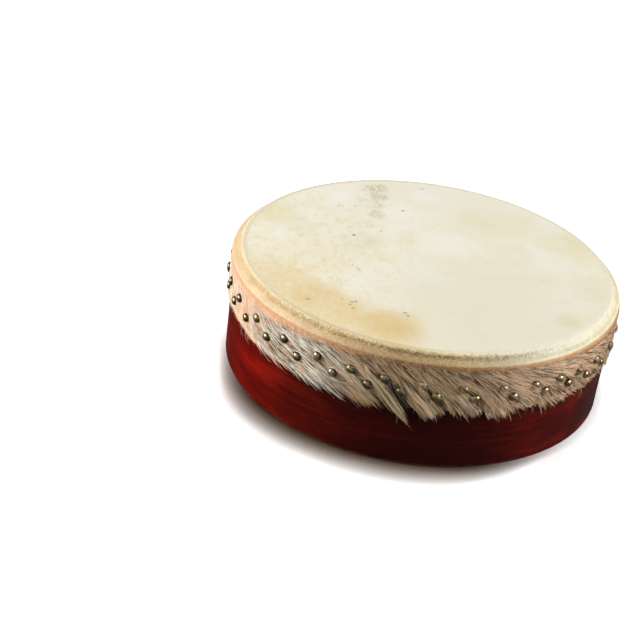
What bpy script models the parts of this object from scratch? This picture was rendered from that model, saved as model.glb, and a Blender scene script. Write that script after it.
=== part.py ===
"""Bodhran: a frame drum with an internal tuning hoop.

Frame: +Z runs along the drum's axis from the open back to the head, and the crossbar lies
along X. The origin is the centre of the back rim's plane. Lengths are in millimetres,
scaled by MM, and angles in degrees.

The shell carries six steel brackets inside. A bolt through each bracket's weld nut pushes a
steel shoe under a loose hoop, and the hoop lifts the goatskin, which is nailed round the
outside of the shell by two staggered rows of domed tacks.
"""

import math

import bmesh
import bpy
from mathutils import Matrix, Vector

MM = 0.001

# ---- driving dimensions shared between pieces -------------------------------------------
SEGS = 72                  # facets round the drum; the coaxial rings share them
GAP = 0.3                  # clearance between pieces that meet

SHELL_R = 18 * 25.4 / 2    # 18 in drum
SHELL_WALL = 7.0
SHELL_H = 129.0            # back rim to the shell's top edge
SHELL_IR = SHELL_R - SHELL_WALL

HOOP_R = SHELL_IR - 0.8
HOOP_WALL = 9.5
HOOP_IR = HOOP_R - HOOP_WALL
HOOP_Z1 = SHELL_H + 9.3    # stands proud of the shell at playing tension
HOOP_Z0 = HOOP_Z1 - 26.0

SKIN_T = 1.5
TACK_BAND_T = 0.3          # band that links a row of tacks, between shell and skirt
SKIRT_IR = SHELL_R + GAP + TACK_BAND_T + GAP
SKIRT_R = SKIRT_IR + SKIN_T
SKIRT_Z0 = 76.0
HEAD_Z = HOOP_Z1 + GAP + SKIN_T          # playing surface

STATIONS = 6
STATION_A0 = 30.0          # first tuner's angle
STATION_ANGLES = [STATION_A0 + i * 360.0 / STATIONS for i in range(STATIONS)]
SCREW_Z = {"a": 50.0, "b": 61.5}         # the two screws that hold each bracket
SCREW_HOLE_R = 2.1

TACKS_PER_ROW = 35
TACK_HOLE = 2.3            # side of the square hole
TACK_TIP_R = 224.4
# A tack's height is a mean plus one wave round the drum. Its angle is an even step plus the
# spacing drifts of a hand-nailed row, each (waves per turn, size in degrees, phase).
ROWS = {
    "tacks_upper_row": {"mean": 102.2, "wave": 4.5, "phase": 152.0, "first": -163.15,
                        "drifts": ((2, 2.2, -90.0), (6, 1.3, 108.0))},
    "tacks_lower_row": {"mean": 91.0, "wave": 3.0, "phase": 150.0, "first": -158.45,
                        "drifts": ((2, 1.75, -73.0), (6, 1.3, 65.0))},
}

# ---- scene and materials ----------------------------------------------------------------
for old in list(bpy.data.objects):
    bpy.data.objects.remove(old, do_unlink=True)

SCENE = bpy.context.scene
DRUM = bpy.data.objects.new("bodhran", None)
SCENE.collection.objects.link(DRUM)


def material(name, color, roughness, metallic=0.0):
    made = bpy.data.materials.new(name)
    made.use_nodes = True
    inputs = made.node_tree.nodes["Principled BSDF"].inputs
    inputs["Base Color"].default_value = (*color, 1.0)
    inputs["Roughness"].default_value = roughness
    inputs["Metallic"].default_value = metallic
    made.diffuse_color = (*color, 1.0)
    return made


M_SHELL = material("red_stained_wood", color=(0.16, 0.018, 0.010), roughness=0.22)
M_HOOP = material("pale_wood", color=(0.52, 0.36, 0.20), roughness=0.55)
M_BAR = material("varnished_wood", color=(0.20, 0.045, 0.020), roughness=0.32)
M_SKIN = material("goatskin", color=(0.80, 0.72, 0.52), roughness=0.60)
M_BRASS = material("antique_brass", color=(0.36, 0.25, 0.11), roughness=0.32, metallic=1.0)
M_ZINC = material("zinc_steel", color=(0.55, 0.55, 0.56), roughness=0.38, metallic=1.0)
M_BLACK = material("black_steel", color=(0.045, 0.045, 0.048), roughness=0.40, metallic=1.0)


# ---- shapes: each returns a new bmesh in millimetres ------------------------------------
def lathe(profile, steps=SEGS):
    """Spins a closed (r, z) outline about Z; points at r = 0 become poles."""
    bm = bmesh.new()
    verts = [bm.verts.new((r, 0.0, z)) for r, z in profile]
    for start, end in zip(verts, verts[1:] + verts[:1]):
        if start.co.x > 1e-6 or end.co.x > 1e-6:
            bm.edges.new((start, end))
    bmesh.ops.spin(bm, geom=bm.verts[:] + bm.edges[:], cent=(0, 0, 0), axis=(0, 0, 1),
                   angle=math.tau, steps=steps, use_merge=True, use_duplicate=False)
    bmesh.ops.remove_doubles(bm, verts=bm.verts, dist=1e-4)
    return bm


def block(low, high):
    """An axis-aligned box between two corners."""
    bm = bmesh.new()
    low, high = Vector(low), Vector(high)
    size = high - low
    matrix = (Matrix.Translation((low + high) / 2)
              @ Matrix.Diagonal((size.x, size.y, size.z, 1.0)))
    bmesh.ops.create_cube(bm, size=1.0, matrix=matrix)
    return bm


def rod(radius, z0, z1, sides):
    """A capped prism on Z."""
    bm = bmesh.new()
    bmesh.ops.create_cone(bm, cap_ends=True, cap_tris=False, segments=sides, radius1=radius,
                          radius2=radius, depth=z1 - z0,
                          matrix=Matrix.Translation((0, 0, (z0 + z1) / 2)))
    return bm


def extrusion(outline, width):
    """An (x, z) outline drawn out along Y, centred on Y = 0."""
    bm = bmesh.new()
    face = bm.faces.new([bm.verts.new((x, -width / 2, z)) for x, z in outline])
    drawn = bmesh.ops.extrude_face_region(bm, geom=[face])["geom"]
    bmesh.ops.translate(bm, vec=(0, width, 0),
                        verts=[v for v in drawn if isinstance(v, bmesh.types.BMVert)])
    return bm


def moved(bm, frame):
    bmesh.ops.transform(bm, matrix=frame, verts=bm.verts)
    return bm


def joined(parts):
    """One bmesh that holds all the parts."""
    whole = bmesh.new()
    for part in parts:
        carrier = bpy.data.meshes.new("carrier")
        bmesh.ops.recalc_face_normals(part, faces=part.faces)
        part.to_mesh(carrier)
        part.free()
        whole.from_mesh(carrier)
        bpy.data.meshes.remove(carrier)
    return whole


def on_plane(edge, axis, value):
    return all(abs(v.co[axis] - value) < 1e-6 for v in edge.verts)


def round_edges(bm, edges, size):
    bmesh.ops.bevel(bm, geom=edges, offset=size, segments=2, profile=0.5, affect="EDGES")


def round_corner(r, z, radius):
    """Profile points of a quarter round inside the outer top corner (r, z)."""
    turns = [math.radians(angle) for angle in (0, 45, 90)]
    return [(r - radius + radius * math.cos(t), z - radius + radius * math.sin(t))
            for t in turns]


def outward(angle, z):
    """Frame whose Z axis points radially outward at that angle and height, X up."""
    turn = math.radians(angle)
    out = Vector((math.cos(turn), math.sin(turn), 0.0))
    up = Vector((0.0, 0.0, 1.0))
    axes = Matrix((up, out.cross(up), out)).transposed().to_4x4()
    return Matrix.Translation((0, 0, z)) @ axes


Z_TO_X = Matrix.Rotation(math.pi / 2, 4, "Y")


# ---- objects ----------------------------------------------------------------------------
def place(name, mesh, location=(0, 0, 0)):
    ob = bpy.data.objects.new(name, mesh)
    SCENE.collection.objects.link(ob)
    ob.location = Vector(location) * MM
    ob.parent = DRUM
    return ob


def put(name, bm, mat, location=(0, 0, 0), flat=False):
    """A named object from a bmesh, scaled from millimetres."""
    bmesh.ops.recalc_face_normals(bm, faces=bm.faces)
    bmesh.ops.scale(bm, vec=(MM, MM, MM), verts=bm.verts)
    mesh = bpy.data.meshes.new(name)
    bm.to_mesh(mesh)
    bm.free()
    if not flat:
        mesh.shade_smooth()
        mesh.set_sharp_from_angle(angle=math.radians(35))
    mesh.materials.append(mat)
    return place(name, mesh, location)


def boolean(ob, operation, *shapes):
    """Cuts or adds the shapes in order, applies the result and removes the operands."""
    operands = []
    for shape in shapes:
        operand = put("operand", shape, M_ZINC, flat=True)
        operand.hide_render = True
        operands.append(operand)
        modifier = ob.modifiers.new(operation.lower(), "BOOLEAN")
        modifier.operation = operation
        modifier.solver = "EXACT"
        modifier.object = operand
    bpy.context.view_layer.update()
    evaluated = ob.evaluated_get(bpy.context.evaluated_depsgraph_get())
    made = bpy.data.meshes.new_from_object(evaluated)
    made.name = ob.name
    ob.modifiers.clear()
    ob.data = made
    for operand in operands:
        bpy.data.objects.remove(operand, do_unlink=True)


# ---- tack positions ---------------------------------------------------------------------
def row_height(row, angle):
    return row["mean"] + row["wave"] * math.cos(math.radians(angle + row["phase"]))


def row_places(row):
    """(angle, height) of each tack in a row."""
    places = []
    for i in range(TACKS_PER_ROW):
        even = row["first"] + i * 360.0 / TACKS_PER_ROW
        angle = even + sum(size * math.sin(math.radians(waves * even + phase))
                           for waves, size, phase in row["drifts"])
        places.append((angle, row_height(row, angle)))
    return places


TACKS = {name: row_places(row) for name, row in ROWS.items()}


def pins(places, side, r0, r1):
    """Square pins between two radii, one per tack."""
    half = side / 2
    return joined(moved(block((-half, -half, r0), (half, half, r1)), outward(angle, z))
                  for angle, z in places)


def nail_holes(r0, r1):
    return pins([tack for places in TACKS.values() for tack in places], TACK_HOLE, r0, r1)


# ---- shell, hoop and head ---------------------------------------------------------------
TOP_ROUND = 3.0            # outer top edge of the shell and of the hoop
SHELL_SCREW_END_R = 227.3  # the bracket screws' blind holes stop inside the wall


def build_shell():
    shell = put("shell", lathe(
        [(SHELL_IR, 1.2), (SHELL_IR + 1.2, 0.0), (SHELL_R - 1.4, 0.0), (SHELL_R, 1.4)]
        + round_corner(SHELL_R, SHELL_H, TOP_ROUND)
        + [(SHELL_IR + 1.0, SHELL_H), (SHELL_IR, SHELL_H - 1.0)]), M_SHELL)
    screw_holes = joined(
        moved(rod(SCREW_HOLE_R, SHELL_IR - 3.0, SHELL_SCREW_END_R, 8), outward(angle, z))
        for angle in STATION_ANGLES for z in SCREW_Z.values())
    boolean(shell, "DIFFERENCE", nail_holes(TACK_TIP_R - 0.5, SHELL_R + 3.0), screw_holes)


def build_hoop():
    put("tuning_hoop", lathe(
        [(HOOP_IR, HOOP_Z0), (HOOP_R, HOOP_Z0)]
        + round_corner(HOOP_R, HOOP_Z1, TOP_ROUND)
        + [(HOOP_IR + 1.5, HOOP_Z1), (HOOP_IR, HOOP_Z1 - 1.5)]), M_HOOP)


def build_head():
    """Membrane, roll over the hoop, band over the shell's edge, and skirt."""
    outer = [(0.0, HEAD_Z), (HOOP_R - 3.4, HEAD_Z),
             (HOOP_R - 1.2, HEAD_Z - 0.35), (HOOP_R + 0.1, HEAD_Z - 1.2),
             (229.3, 131.4), (SKIRT_R - 0.35, 130.2), (SKIRT_R, 128.4), (SKIRT_R, SKIRT_Z0)]
    inner = [(SKIRT_IR, SKIRT_Z0), (SKIRT_IR, 127.6), (SKIRT_IR - 0.5, 129.4),
             (HOOP_R - 0.6, HEAD_Z - 2.45), (HOOP_R - 2.9, HEAD_Z - SKIN_T),
             (0.0, HEAD_Z - SKIN_T)]
    skin = put("goatskin_head", lathe(outer + inner), M_SKIN)
    boolean(skin, "DIFFERENCE", nail_holes(SHELL_R - 2.0, SKIRT_R + 2.0))


# ---- tacks: a row is one piece, its nails linked by a thin band hidden under the skirt --
TACK_R = 5.3
TACK_H = 4.0
TACK_SHANK = 1.6           # side of the square shank
TACK_SEAT_R = SKIRT_R + GAP
SHANK_IN_DOME = 0.8
TACK_BAND_HALF = 1.3       # half the band's height
DOME = [(0.0, TACK_SEAT_R), (TACK_R, TACK_SEAT_R),
        (TACK_R * 0.90, TACK_SEAT_R + TACK_H * 0.46),
        (TACK_R * 0.56, TACK_SEAT_R + TACK_H * 0.84), (0.0, TACK_SEAT_R + TACK_H)]


def build_tacks(name):
    band_r0 = SHELL_R + GAP
    band_r1 = band_r0 + TACK_BAND_T
    band = lathe([(band_r0, -TACK_BAND_HALF), (band_r1, -TACK_BAND_HALF),
                  (band_r1, TACK_BAND_HALF), (band_r0, TACK_BAND_HALF)])
    for v in band.verts:
        v.co.z += row_height(ROWS[name], math.degrees(math.atan2(v.co.y, v.co.x)))
    tacks = put(name, band, M_BRASS)
    shanks = pins(TACKS[name], TACK_SHANK, TACK_TIP_R, TACK_SEAT_R + SHANK_IN_DOME)
    domes = joined(moved(lathe(DOME, 8), outward(angle, z)) for angle, z in TACKS[name])
    boolean(tacks, "UNION", shanks, domes)


# ---- tuner stations ---------------------------------------------------------------------
# Station pieces are drawn about the bolt's axis: X outward, Y along the wall, Z up.
BOLT_AXIS_R = 213.0
BOLT_HOLE_R = 3.3          # in the bracket and the nut

CORNER_RELIEF = 0.25       # lets the bracket's flat face clear the curved wall
BRACKET_T = 2.5
BRACKET_W = 20.0
BRACKET_X_OUT = SHELL_IR - GAP - CORNER_RELIEF - BOLT_AXIS_R
BRACKET_X_IN = 203.0 - BOLT_AXIS_R
BRACKET_TOP = 90.5
BRACKET_BOTTOM = 44.0
BRACKET_CORNER = 4.0

NUT_R = 5.7                # across corners, halved
NUT_H = 5.0

SHOE_T = 2.0               # plate under the hoop
SHOE_LIP_T = 1.8           # lip that stands inside the hoop
SHOE_LIP_RISE = 9.0        # above the hoop's lower edge
SHOE_W = 18.0
SHOE_TOP = HOOP_Z0 - GAP
SHOE_BOTTOM = SHOE_TOP - SHOE_T
SHOE_X_OUT = HOOP_R - 0.9 - BOLT_AXIS_R
SHOE_X_IN = HOOP_IR - 0.6 - BOLT_AXIS_R  # lip's face towards the hoop

BOLT_R = 2.95              # M6
BOLT_LEN = 30.0            # under the head
BOLT_TIP_Z = SHOE_BOTTOM - GAP
BOLT_TIP_R = 1.6
BOLT_HEAD_R = 5.0
BOLT_HEAD_H = 6.0
KEY_AF = 5.0               # hex socket across flats
KEY_DEPTH = 3.0


def build_bracket():
    x_wall = BRACKET_X_OUT - BRACKET_T
    z_shelf = BRACKET_TOP - BRACKET_T
    bm = extrusion([(BRACKET_X_IN, z_shelf), (BRACKET_X_IN, BRACKET_TOP),
                    (BRACKET_X_OUT, BRACKET_TOP), (BRACKET_X_OUT, BRACKET_BOTTOM),
                    (x_wall, BRACKET_BOTTOM), (x_wall, z_shelf)], BRACKET_W)
    # the short edges through the plate, at the lower end and at the shelf's inner end
    through = [e for e in bm.edges if abs(e.verts[0].co.y - e.verts[1].co.y) < 1e-6]
    round_edges(bm, [e for e in through if on_plane(e, 2, BRACKET_BOTTOM)]
                + [e for e in through if on_plane(e, 0, BRACKET_X_IN)], BRACKET_CORNER)
    bracket = put("tuner_bracket_1", bm, M_ZINC)
    holes = [rod(BOLT_HOLE_R, BRACKET_TOP - 6, BRACKET_TOP + 4, 12)]
    for z in SCREW_Z.values():
        holes.append(moved(rod(SCREW_HOLE_R, BRACKET_X_OUT - 6, BRACKET_X_OUT + 3, 10),
                           Matrix.Translation((0, 0, z)) @ Z_TO_X))
    boolean(bracket, "DIFFERENCE", joined(holes))
    return bracket


def build_nut():
    z_seat = BRACKET_TOP + GAP
    nut = put("tuner_nut_1", rod(NUT_R, z_seat, z_seat + NUT_H, 6), M_ZINC)
    boolean(nut, "DIFFERENCE", rod(BOLT_HOLE_R, BRACKET_TOP - 3, BRACKET_TOP + 9, 12))
    return nut


def build_bolt():
    """Socket-head bolt, its head towards the open back."""
    z_under = BOLT_TIP_Z - BOLT_LEN
    z_head = z_under - BOLT_HEAD_H
    bolt = put("tuning_bolt_1", lathe(
        [(0.0, z_head), (BOLT_HEAD_R - 0.5, z_head), (BOLT_HEAD_R, z_head + 0.5),
         (BOLT_HEAD_R, z_under), (BOLT_R, z_under), (BOLT_R, BOLT_TIP_Z - 1.3),
         (BOLT_TIP_R, BOLT_TIP_Z), (0.0, BOLT_TIP_Z)], 12), M_BLACK)
    boolean(bolt, "DIFFERENCE", rod(KEY_AF / math.sqrt(3), z_head - 3, z_head + KEY_DEPTH, 6))
    return bolt


def build_shoe():
    x_lip = SHOE_X_IN - SHOE_LIP_T
    z_lip = HOOP_Z0 + SHOE_LIP_RISE
    return put("thrust_shoe_1", extrusion(
        [(SHOE_X_OUT, SHOE_BOTTOM), (SHOE_X_OUT, SHOE_TOP), (SHOE_X_IN, SHOE_TOP),
         (SHOE_X_IN, z_lip), (x_lip, z_lip), (x_lip, SHOE_BOTTOM)], SHOE_W), M_ZINC)


def build_bracket_screw():
    """Screw along X, its head facing the drum's axis."""
    seat = BRACKET_X_OUT - BRACKET_T - GAP
    return put("bracket_screw_1a", moved(lathe(
        [(0.0, seat - 2.4), (2.4, seat - 2.1), (3.6, seat - 0.9), (3.6, seat), (1.75, seat),
         (1.75, seat + 7.0), (0.0, seat + 8.5)], 10), Z_TO_X), M_ZINC)


def build_stations():
    """Each piece is built once; the other stations share its mesh."""
    pieces = {"tuner_bracket": build_bracket(), "tuner_nut": build_nut(),
              "tuning_bolt": build_bolt(), "thrust_shoe": build_shoe()}
    screw = build_bracket_screw()
    for number, angle in enumerate(STATION_ANGLES, 1):
        turn = math.radians(angle)
        x, y = BOLT_AXIS_R * math.cos(turn), BOLT_AXIS_R * math.sin(turn)
        fittings = [(f"{stem}_{number}", first, 0.0) for stem, first in pieces.items()]
        fittings += [(f"bracket_screw_{number}{letter}", screw, z)
                     for letter, z in SCREW_Z.items()]
        for name, first, z in fittings:
            ob = first if name == first.name else place(name, first.data)
            ob.location = Vector((x, y, z)) * MM
            ob.rotation_euler[2] = turn


# ---- crossbar, its cleats and screws ----------------------------------------------------
BAR_HALF = 219.0
BAR_W = 32.0
BAR_Z0, BAR_Z1 = 8.0, 20.0
BAR_ROUND = 4.0
BAR_HOLE_R = 2.3
BAR_SCREW_X = 210.5
CLEAT_Z0, CLEAT_Z1 = BAR_Z1 + GAP, 42.0
CLEAT_W = 44.0
CLEAT_IN = 203.0
CLEAT_ROUND = 2.5
CLEAT_HOLE_DEPTH = 14.5


def build_crossbar():
    bm = block((-BAR_HALF, -BAR_W / 2, BAR_Z0), (BAR_HALF, BAR_W / 2, BAR_Z1))
    long_edges = [e for e in bm.edges if abs(e.verts[0].co.x - e.verts[1].co.x) > 1.0]
    round_edges(bm, long_edges, BAR_ROUND)
    bar = put("crossbar", bm, M_BAR)
    boolean(bar, "DIFFERENCE", joined(
        moved(rod(BAR_HOLE_R, BAR_Z0 - 3, BAR_Z1 + 3, 10), Matrix.Translation((x, 0, 0)))
        for x in (-BAR_SCREW_X, BAR_SCREW_X)))


def build_cleat(label, turn):
    """Drawn at the +X end, then turned about the drum's axis."""
    bm = block((CLEAT_IN, -CLEAT_W / 2, CLEAT_Z0), (SHELL_R, CLEAT_W / 2, CLEAT_Z1))
    round_edges(bm, [e for e in bm.edges if on_plane(e, 0, CLEAT_IN)], CLEAT_ROUND)
    cleat = put(f"crossbar_cleat_{label}", bm, M_BAR)
    # the back follows the shell's wall: everything beyond the glue line is cut away
    r0, r1 = SHELL_IR - GAP, SHELL_R + 20
    wall = lathe([(r0, 0.0), (r1, 0.0), (r1, 60.0), (r0, 60.0)])
    hole = moved(rod(SCREW_HOLE_R, CLEAT_Z0 - 3, CLEAT_Z0 + CLEAT_HOLE_DEPTH, 8),
                 Matrix.Translation((BAR_SCREW_X, 0, 0)))
    boolean(cleat, "DIFFERENCE", wall, hole)
    cleat.rotation_euler[2] = turn


def build_crossbar_screw(label, x):
    """Slotted screw driven through the bar from the open back."""
    seat = BAR_Z0 - GAP
    screw = put(f"crossbar_screw_{label}", lathe(
        [(0.0, seat - 2.6), (2.6, seat - 2.2), (4.2, seat - 0.9), (4.2, seat), (1.8, seat),
         (1.8, seat + 23.0), (0.4, seat + 25.4), (0.0, seat + 25.4)], 10), M_ZINC,
        location=(x, 0, 0))
    slot = block((-0.6, -6.0, seat - 5.0), (0.6, 6.0, seat - 1.6))
    boolean(screw, "DIFFERENCE", moved(slot, Matrix.Translation((x, 0, 0))))


build_shell()
build_hoop()
build_head()
for row_name in ROWS:
    build_tacks(row_name)
build_stations()
build_crossbar()
for side_label, side_x, side_turn in (("right", BAR_SCREW_X, 0.0),
                                      ("left", -BAR_SCREW_X, math.pi)):
    build_cleat(side_label, side_turn)
    build_crossbar_screw(side_label, side_x)
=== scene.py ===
"""Looks of a bodhran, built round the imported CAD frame.

The drum lies flat with its skin up: the axis is +Z, the open back stands on z = 0, the front faces
-Y and +X is right. Angles round the rim are degrees anticlockwise from +X, so the front is at -90.
Lengths are mm; materials, lights and the camera work in metres.

The skin is one sheet that bends between the shell and the tuning hoop. The hair on its skirt, the
dome tacks, the stained rim, the loose hoop and the tuners inside are each their own piece.
"""

import math

import bmesh
import bpy
import numpy as np
from mathutils import Matrix, Vector


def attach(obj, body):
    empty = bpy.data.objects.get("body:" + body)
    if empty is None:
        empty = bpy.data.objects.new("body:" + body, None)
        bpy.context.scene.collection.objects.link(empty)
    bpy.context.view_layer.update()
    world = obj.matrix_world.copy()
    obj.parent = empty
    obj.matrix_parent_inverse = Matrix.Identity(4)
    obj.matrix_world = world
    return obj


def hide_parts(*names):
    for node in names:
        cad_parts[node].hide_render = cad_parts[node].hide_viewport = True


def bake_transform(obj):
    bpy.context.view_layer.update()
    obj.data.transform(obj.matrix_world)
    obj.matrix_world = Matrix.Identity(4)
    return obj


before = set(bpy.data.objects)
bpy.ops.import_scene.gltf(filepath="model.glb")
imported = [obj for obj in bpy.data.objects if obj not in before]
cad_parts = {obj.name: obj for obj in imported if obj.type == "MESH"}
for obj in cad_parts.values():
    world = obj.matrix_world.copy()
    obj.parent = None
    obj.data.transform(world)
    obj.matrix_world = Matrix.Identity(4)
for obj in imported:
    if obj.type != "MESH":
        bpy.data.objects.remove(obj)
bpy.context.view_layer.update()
MM = 0.001
SCENE = bpy.context.scene

# sizes shared with the CAD, mm
SHELL_R, SHELL_IR, SHELL_H = 228.6, 221.6, 129.0
HOOP_R, HOOP_IR, HOOP_Z0, HOOP_Z1 = 220.8, 211.3, 112.3, 138.3
SKIRT_R = 231.0         # turns lengths along the skirt into angles
SKIRT_FACE_R = 231.25   # outer face of the skirt
SKIN_T = 1.3
HEAD_Z = 140.0          # playing surface


# ---------------------------------------------------------------- noise and colour
def smooth(start, end, value):
    t = np.clip((np.asarray(value, float) - start) / (end - start), 0.0, 1.0)
    return t * t * (3 - 2 * t)


def wrap180(deg):
    return (deg + 180.0) % 360.0 - 180.0


def ring_noise(seed, lumps, height=1e6):
    """Noise over (degrees, mm): `lumps` cells round the drum, each `height` mm high.

    With the default height it only changes round the drum."""
    rows = 97
    grid = np.random.default_rng(seed).uniform(-1, 1, (lumps, rows))

    def noise(deg, mm):
        u, v = np.asarray(deg) / 360.0 * lumps, np.asarray(mm) / height + 31.7
        column, row = np.floor(u).astype(int), np.floor(v).astype(int)
        across, up = u - column, v - row
        across, up = across * across * (3 - 2 * across), up * up * (3 - 2 * up)
        left, right = column % lumps, (column + 1) % lumps
        low, high = row % rows, (row + 1) % rows
        below = grid[left, low] * (1 - across) + grid[right, low] * across
        above = grid[left, high] * (1 - across) + grid[right, high] * across
        return below * (1 - up) + above * up

    return noise


def srgb(red, green, blue):
    """Linear colour from 0-255 sRGB."""
    c = np.array([red, green, blue], float) / 255.0
    return tuple(np.where(c <= 0.04045, c / 12.92, ((c + 0.055) / 1.055) ** 2.4))


def blend_color(base, other, fraction):
    fraction = np.asarray(fraction)[..., None]
    return base * (1 - fraction) + other * fraction


# ---------------------------------------------------------------- meshes
def add_mesh(name, verts, faces, material, colors=None):
    """A smooth-shaded object, verts in metres; faces is a list of (n, corners) index arrays."""
    mesh = bpy.data.meshes.new(name)
    verts = np.asarray(verts, np.float32)
    mesh.vertices.add(len(verts))
    mesh.vertices.foreach_set("co", verts.ravel())
    corners = np.concatenate([np.asarray(f, np.int32).ravel() for f in faces])
    sizes = np.concatenate([np.full(len(f), f.shape[1], np.int32) for f in faces])
    mesh.loops.add(len(corners))
    mesh.loops.foreach_set("vertex_index", corners)
    mesh.polygons.add(len(sizes))
    starts = np.concatenate([[0], np.cumsum(sizes)[:-1]]).astype(np.int32)
    mesh.polygons.foreach_set("loop_start", starts)
    mesh.polygons.foreach_set("loop_total", sizes)
    mesh.update(calc_edges=True)
    mesh.validate()
    mesh.polygons.foreach_set("use_smooth", np.ones(len(mesh.polygons), bool))
    if colors is not None:
        attribute = mesh.color_attributes.new("Col", "FLOAT_COLOR", "POINT")
        rgba = np.ones((len(verts), 4), np.float32)
        rgba[:, :3] = colors
        attribute.data.foreach_set("color", rgba.ravel())
    ob = bpy.data.objects.new(name, mesh)
    SCENE.collection.objects.link(ob)
    mesh.materials.append(material)
    return ob


def ring_columns(columns):
    """Each column's number and that of the next one round."""
    column = np.arange(columns)
    return column, (column + 1) % columns


def grid_faces(columns, rows, flip=False, base=0):
    """Quads of a closed ring of columns; vertex index = base + column * rows + row."""
    c, r = np.meshgrid(np.arange(columns), np.arange(rows - 1), indexing="ij")
    after = (c + 1) % columns
    quads = np.stack([c * rows + r, after * rows + r, after * rows + r + 1, c * rows + r + 1], -1)
    quads = quads.reshape(-1, 4)
    return base + (quads[:, ::-1] if flip else quads)


def face_outward(ob, sharp=None):
    """Recalculate normals; edges steeper than `sharp` degrees are shaded hard."""
    bm = bmesh.new()
    bm.from_mesh(ob.data)
    bmesh.ops.recalc_face_normals(bm, faces=bm.faces)
    bm.to_mesh(ob.data)
    bm.free()
    ob.data.shade_smooth()
    if sharp is not None:
        ob.data.set_sharp_from_angle(angle=math.radians(sharp))


def lathe(name, profile, material, wobble=None):
    """A ring turned from a closed (radius, z) outline, anticlockwise with radius to the right."""
    columns = 288
    outline = np.asarray(profile, float)
    turn = np.arange(columns) / columns * math.tau
    radius = np.repeat(outline[None, :, 0], columns, 0)
    z = np.repeat(outline[None, :, 1], columns, 0)
    if wobble is not None:
        radius = radius + wobble(np.degrees(turn)[:, None], z, radius)
    verts = np.stack([radius * np.cos(turn)[:, None], radius * np.sin(turn)[:, None], z], -1)
    n = len(outline)
    c, after = ring_columns(columns)
    closing = np.stack([c * n + n - 1, after * n + n - 1, after * n, c * n], -1)
    faces = np.concatenate([grid_faces(columns, n), closing])
    ob = add_mesh(name, verts.reshape(-1, 3) * MM, [faces], material)
    face_outward(ob, sharp=50)
    return ob


def arc(center_r, center_z, radius, start, end, steps):
    angles = np.radians(np.linspace(start, end, steps + 1))
    return [(center_r + radius * math.cos(a), center_z + radius * math.sin(a)) for a in angles]


def between(first, last, steps):
    """Points that cut a straight run into equal steps, without its ends."""
    return [(first[0] + (last[0] - first[0]) * i / steps, first[1] + (last[1] - first[1]) * i / steps)
            for i in range(1, steps)]


def register(ob, carrier, node=None):
    if node:
        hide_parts(node)
    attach(ob, carrier)


# ---------------------------------------------------------------- shader node helpers
def operator_pair(operation):
    return (lambda self, other: self.nodes.math(operation, self, other),
            lambda self, other: self.nodes.math(operation, other, self))


class Signal:
    """A node's output; arithmetic on it adds Math nodes."""

    def __init__(self, nodes, socket):
        self.nodes, self.socket = nodes, socket

    __add__, __radd__ = operator_pair("ADD")
    __sub__, __rsub__ = operator_pair("SUBTRACT")
    __mul__, __rmul__ = operator_pair("MULTIPLY")
    __truediv__, __rtruediv__ = operator_pair("DIVIDE")

    def __abs__(self):
        return self.nodes.math("ABSOLUTE", self)

    def sibling(self, key):
        """Another output of the same node."""
        return Signal(self.nodes, self.socket.node.outputs[key])


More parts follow.
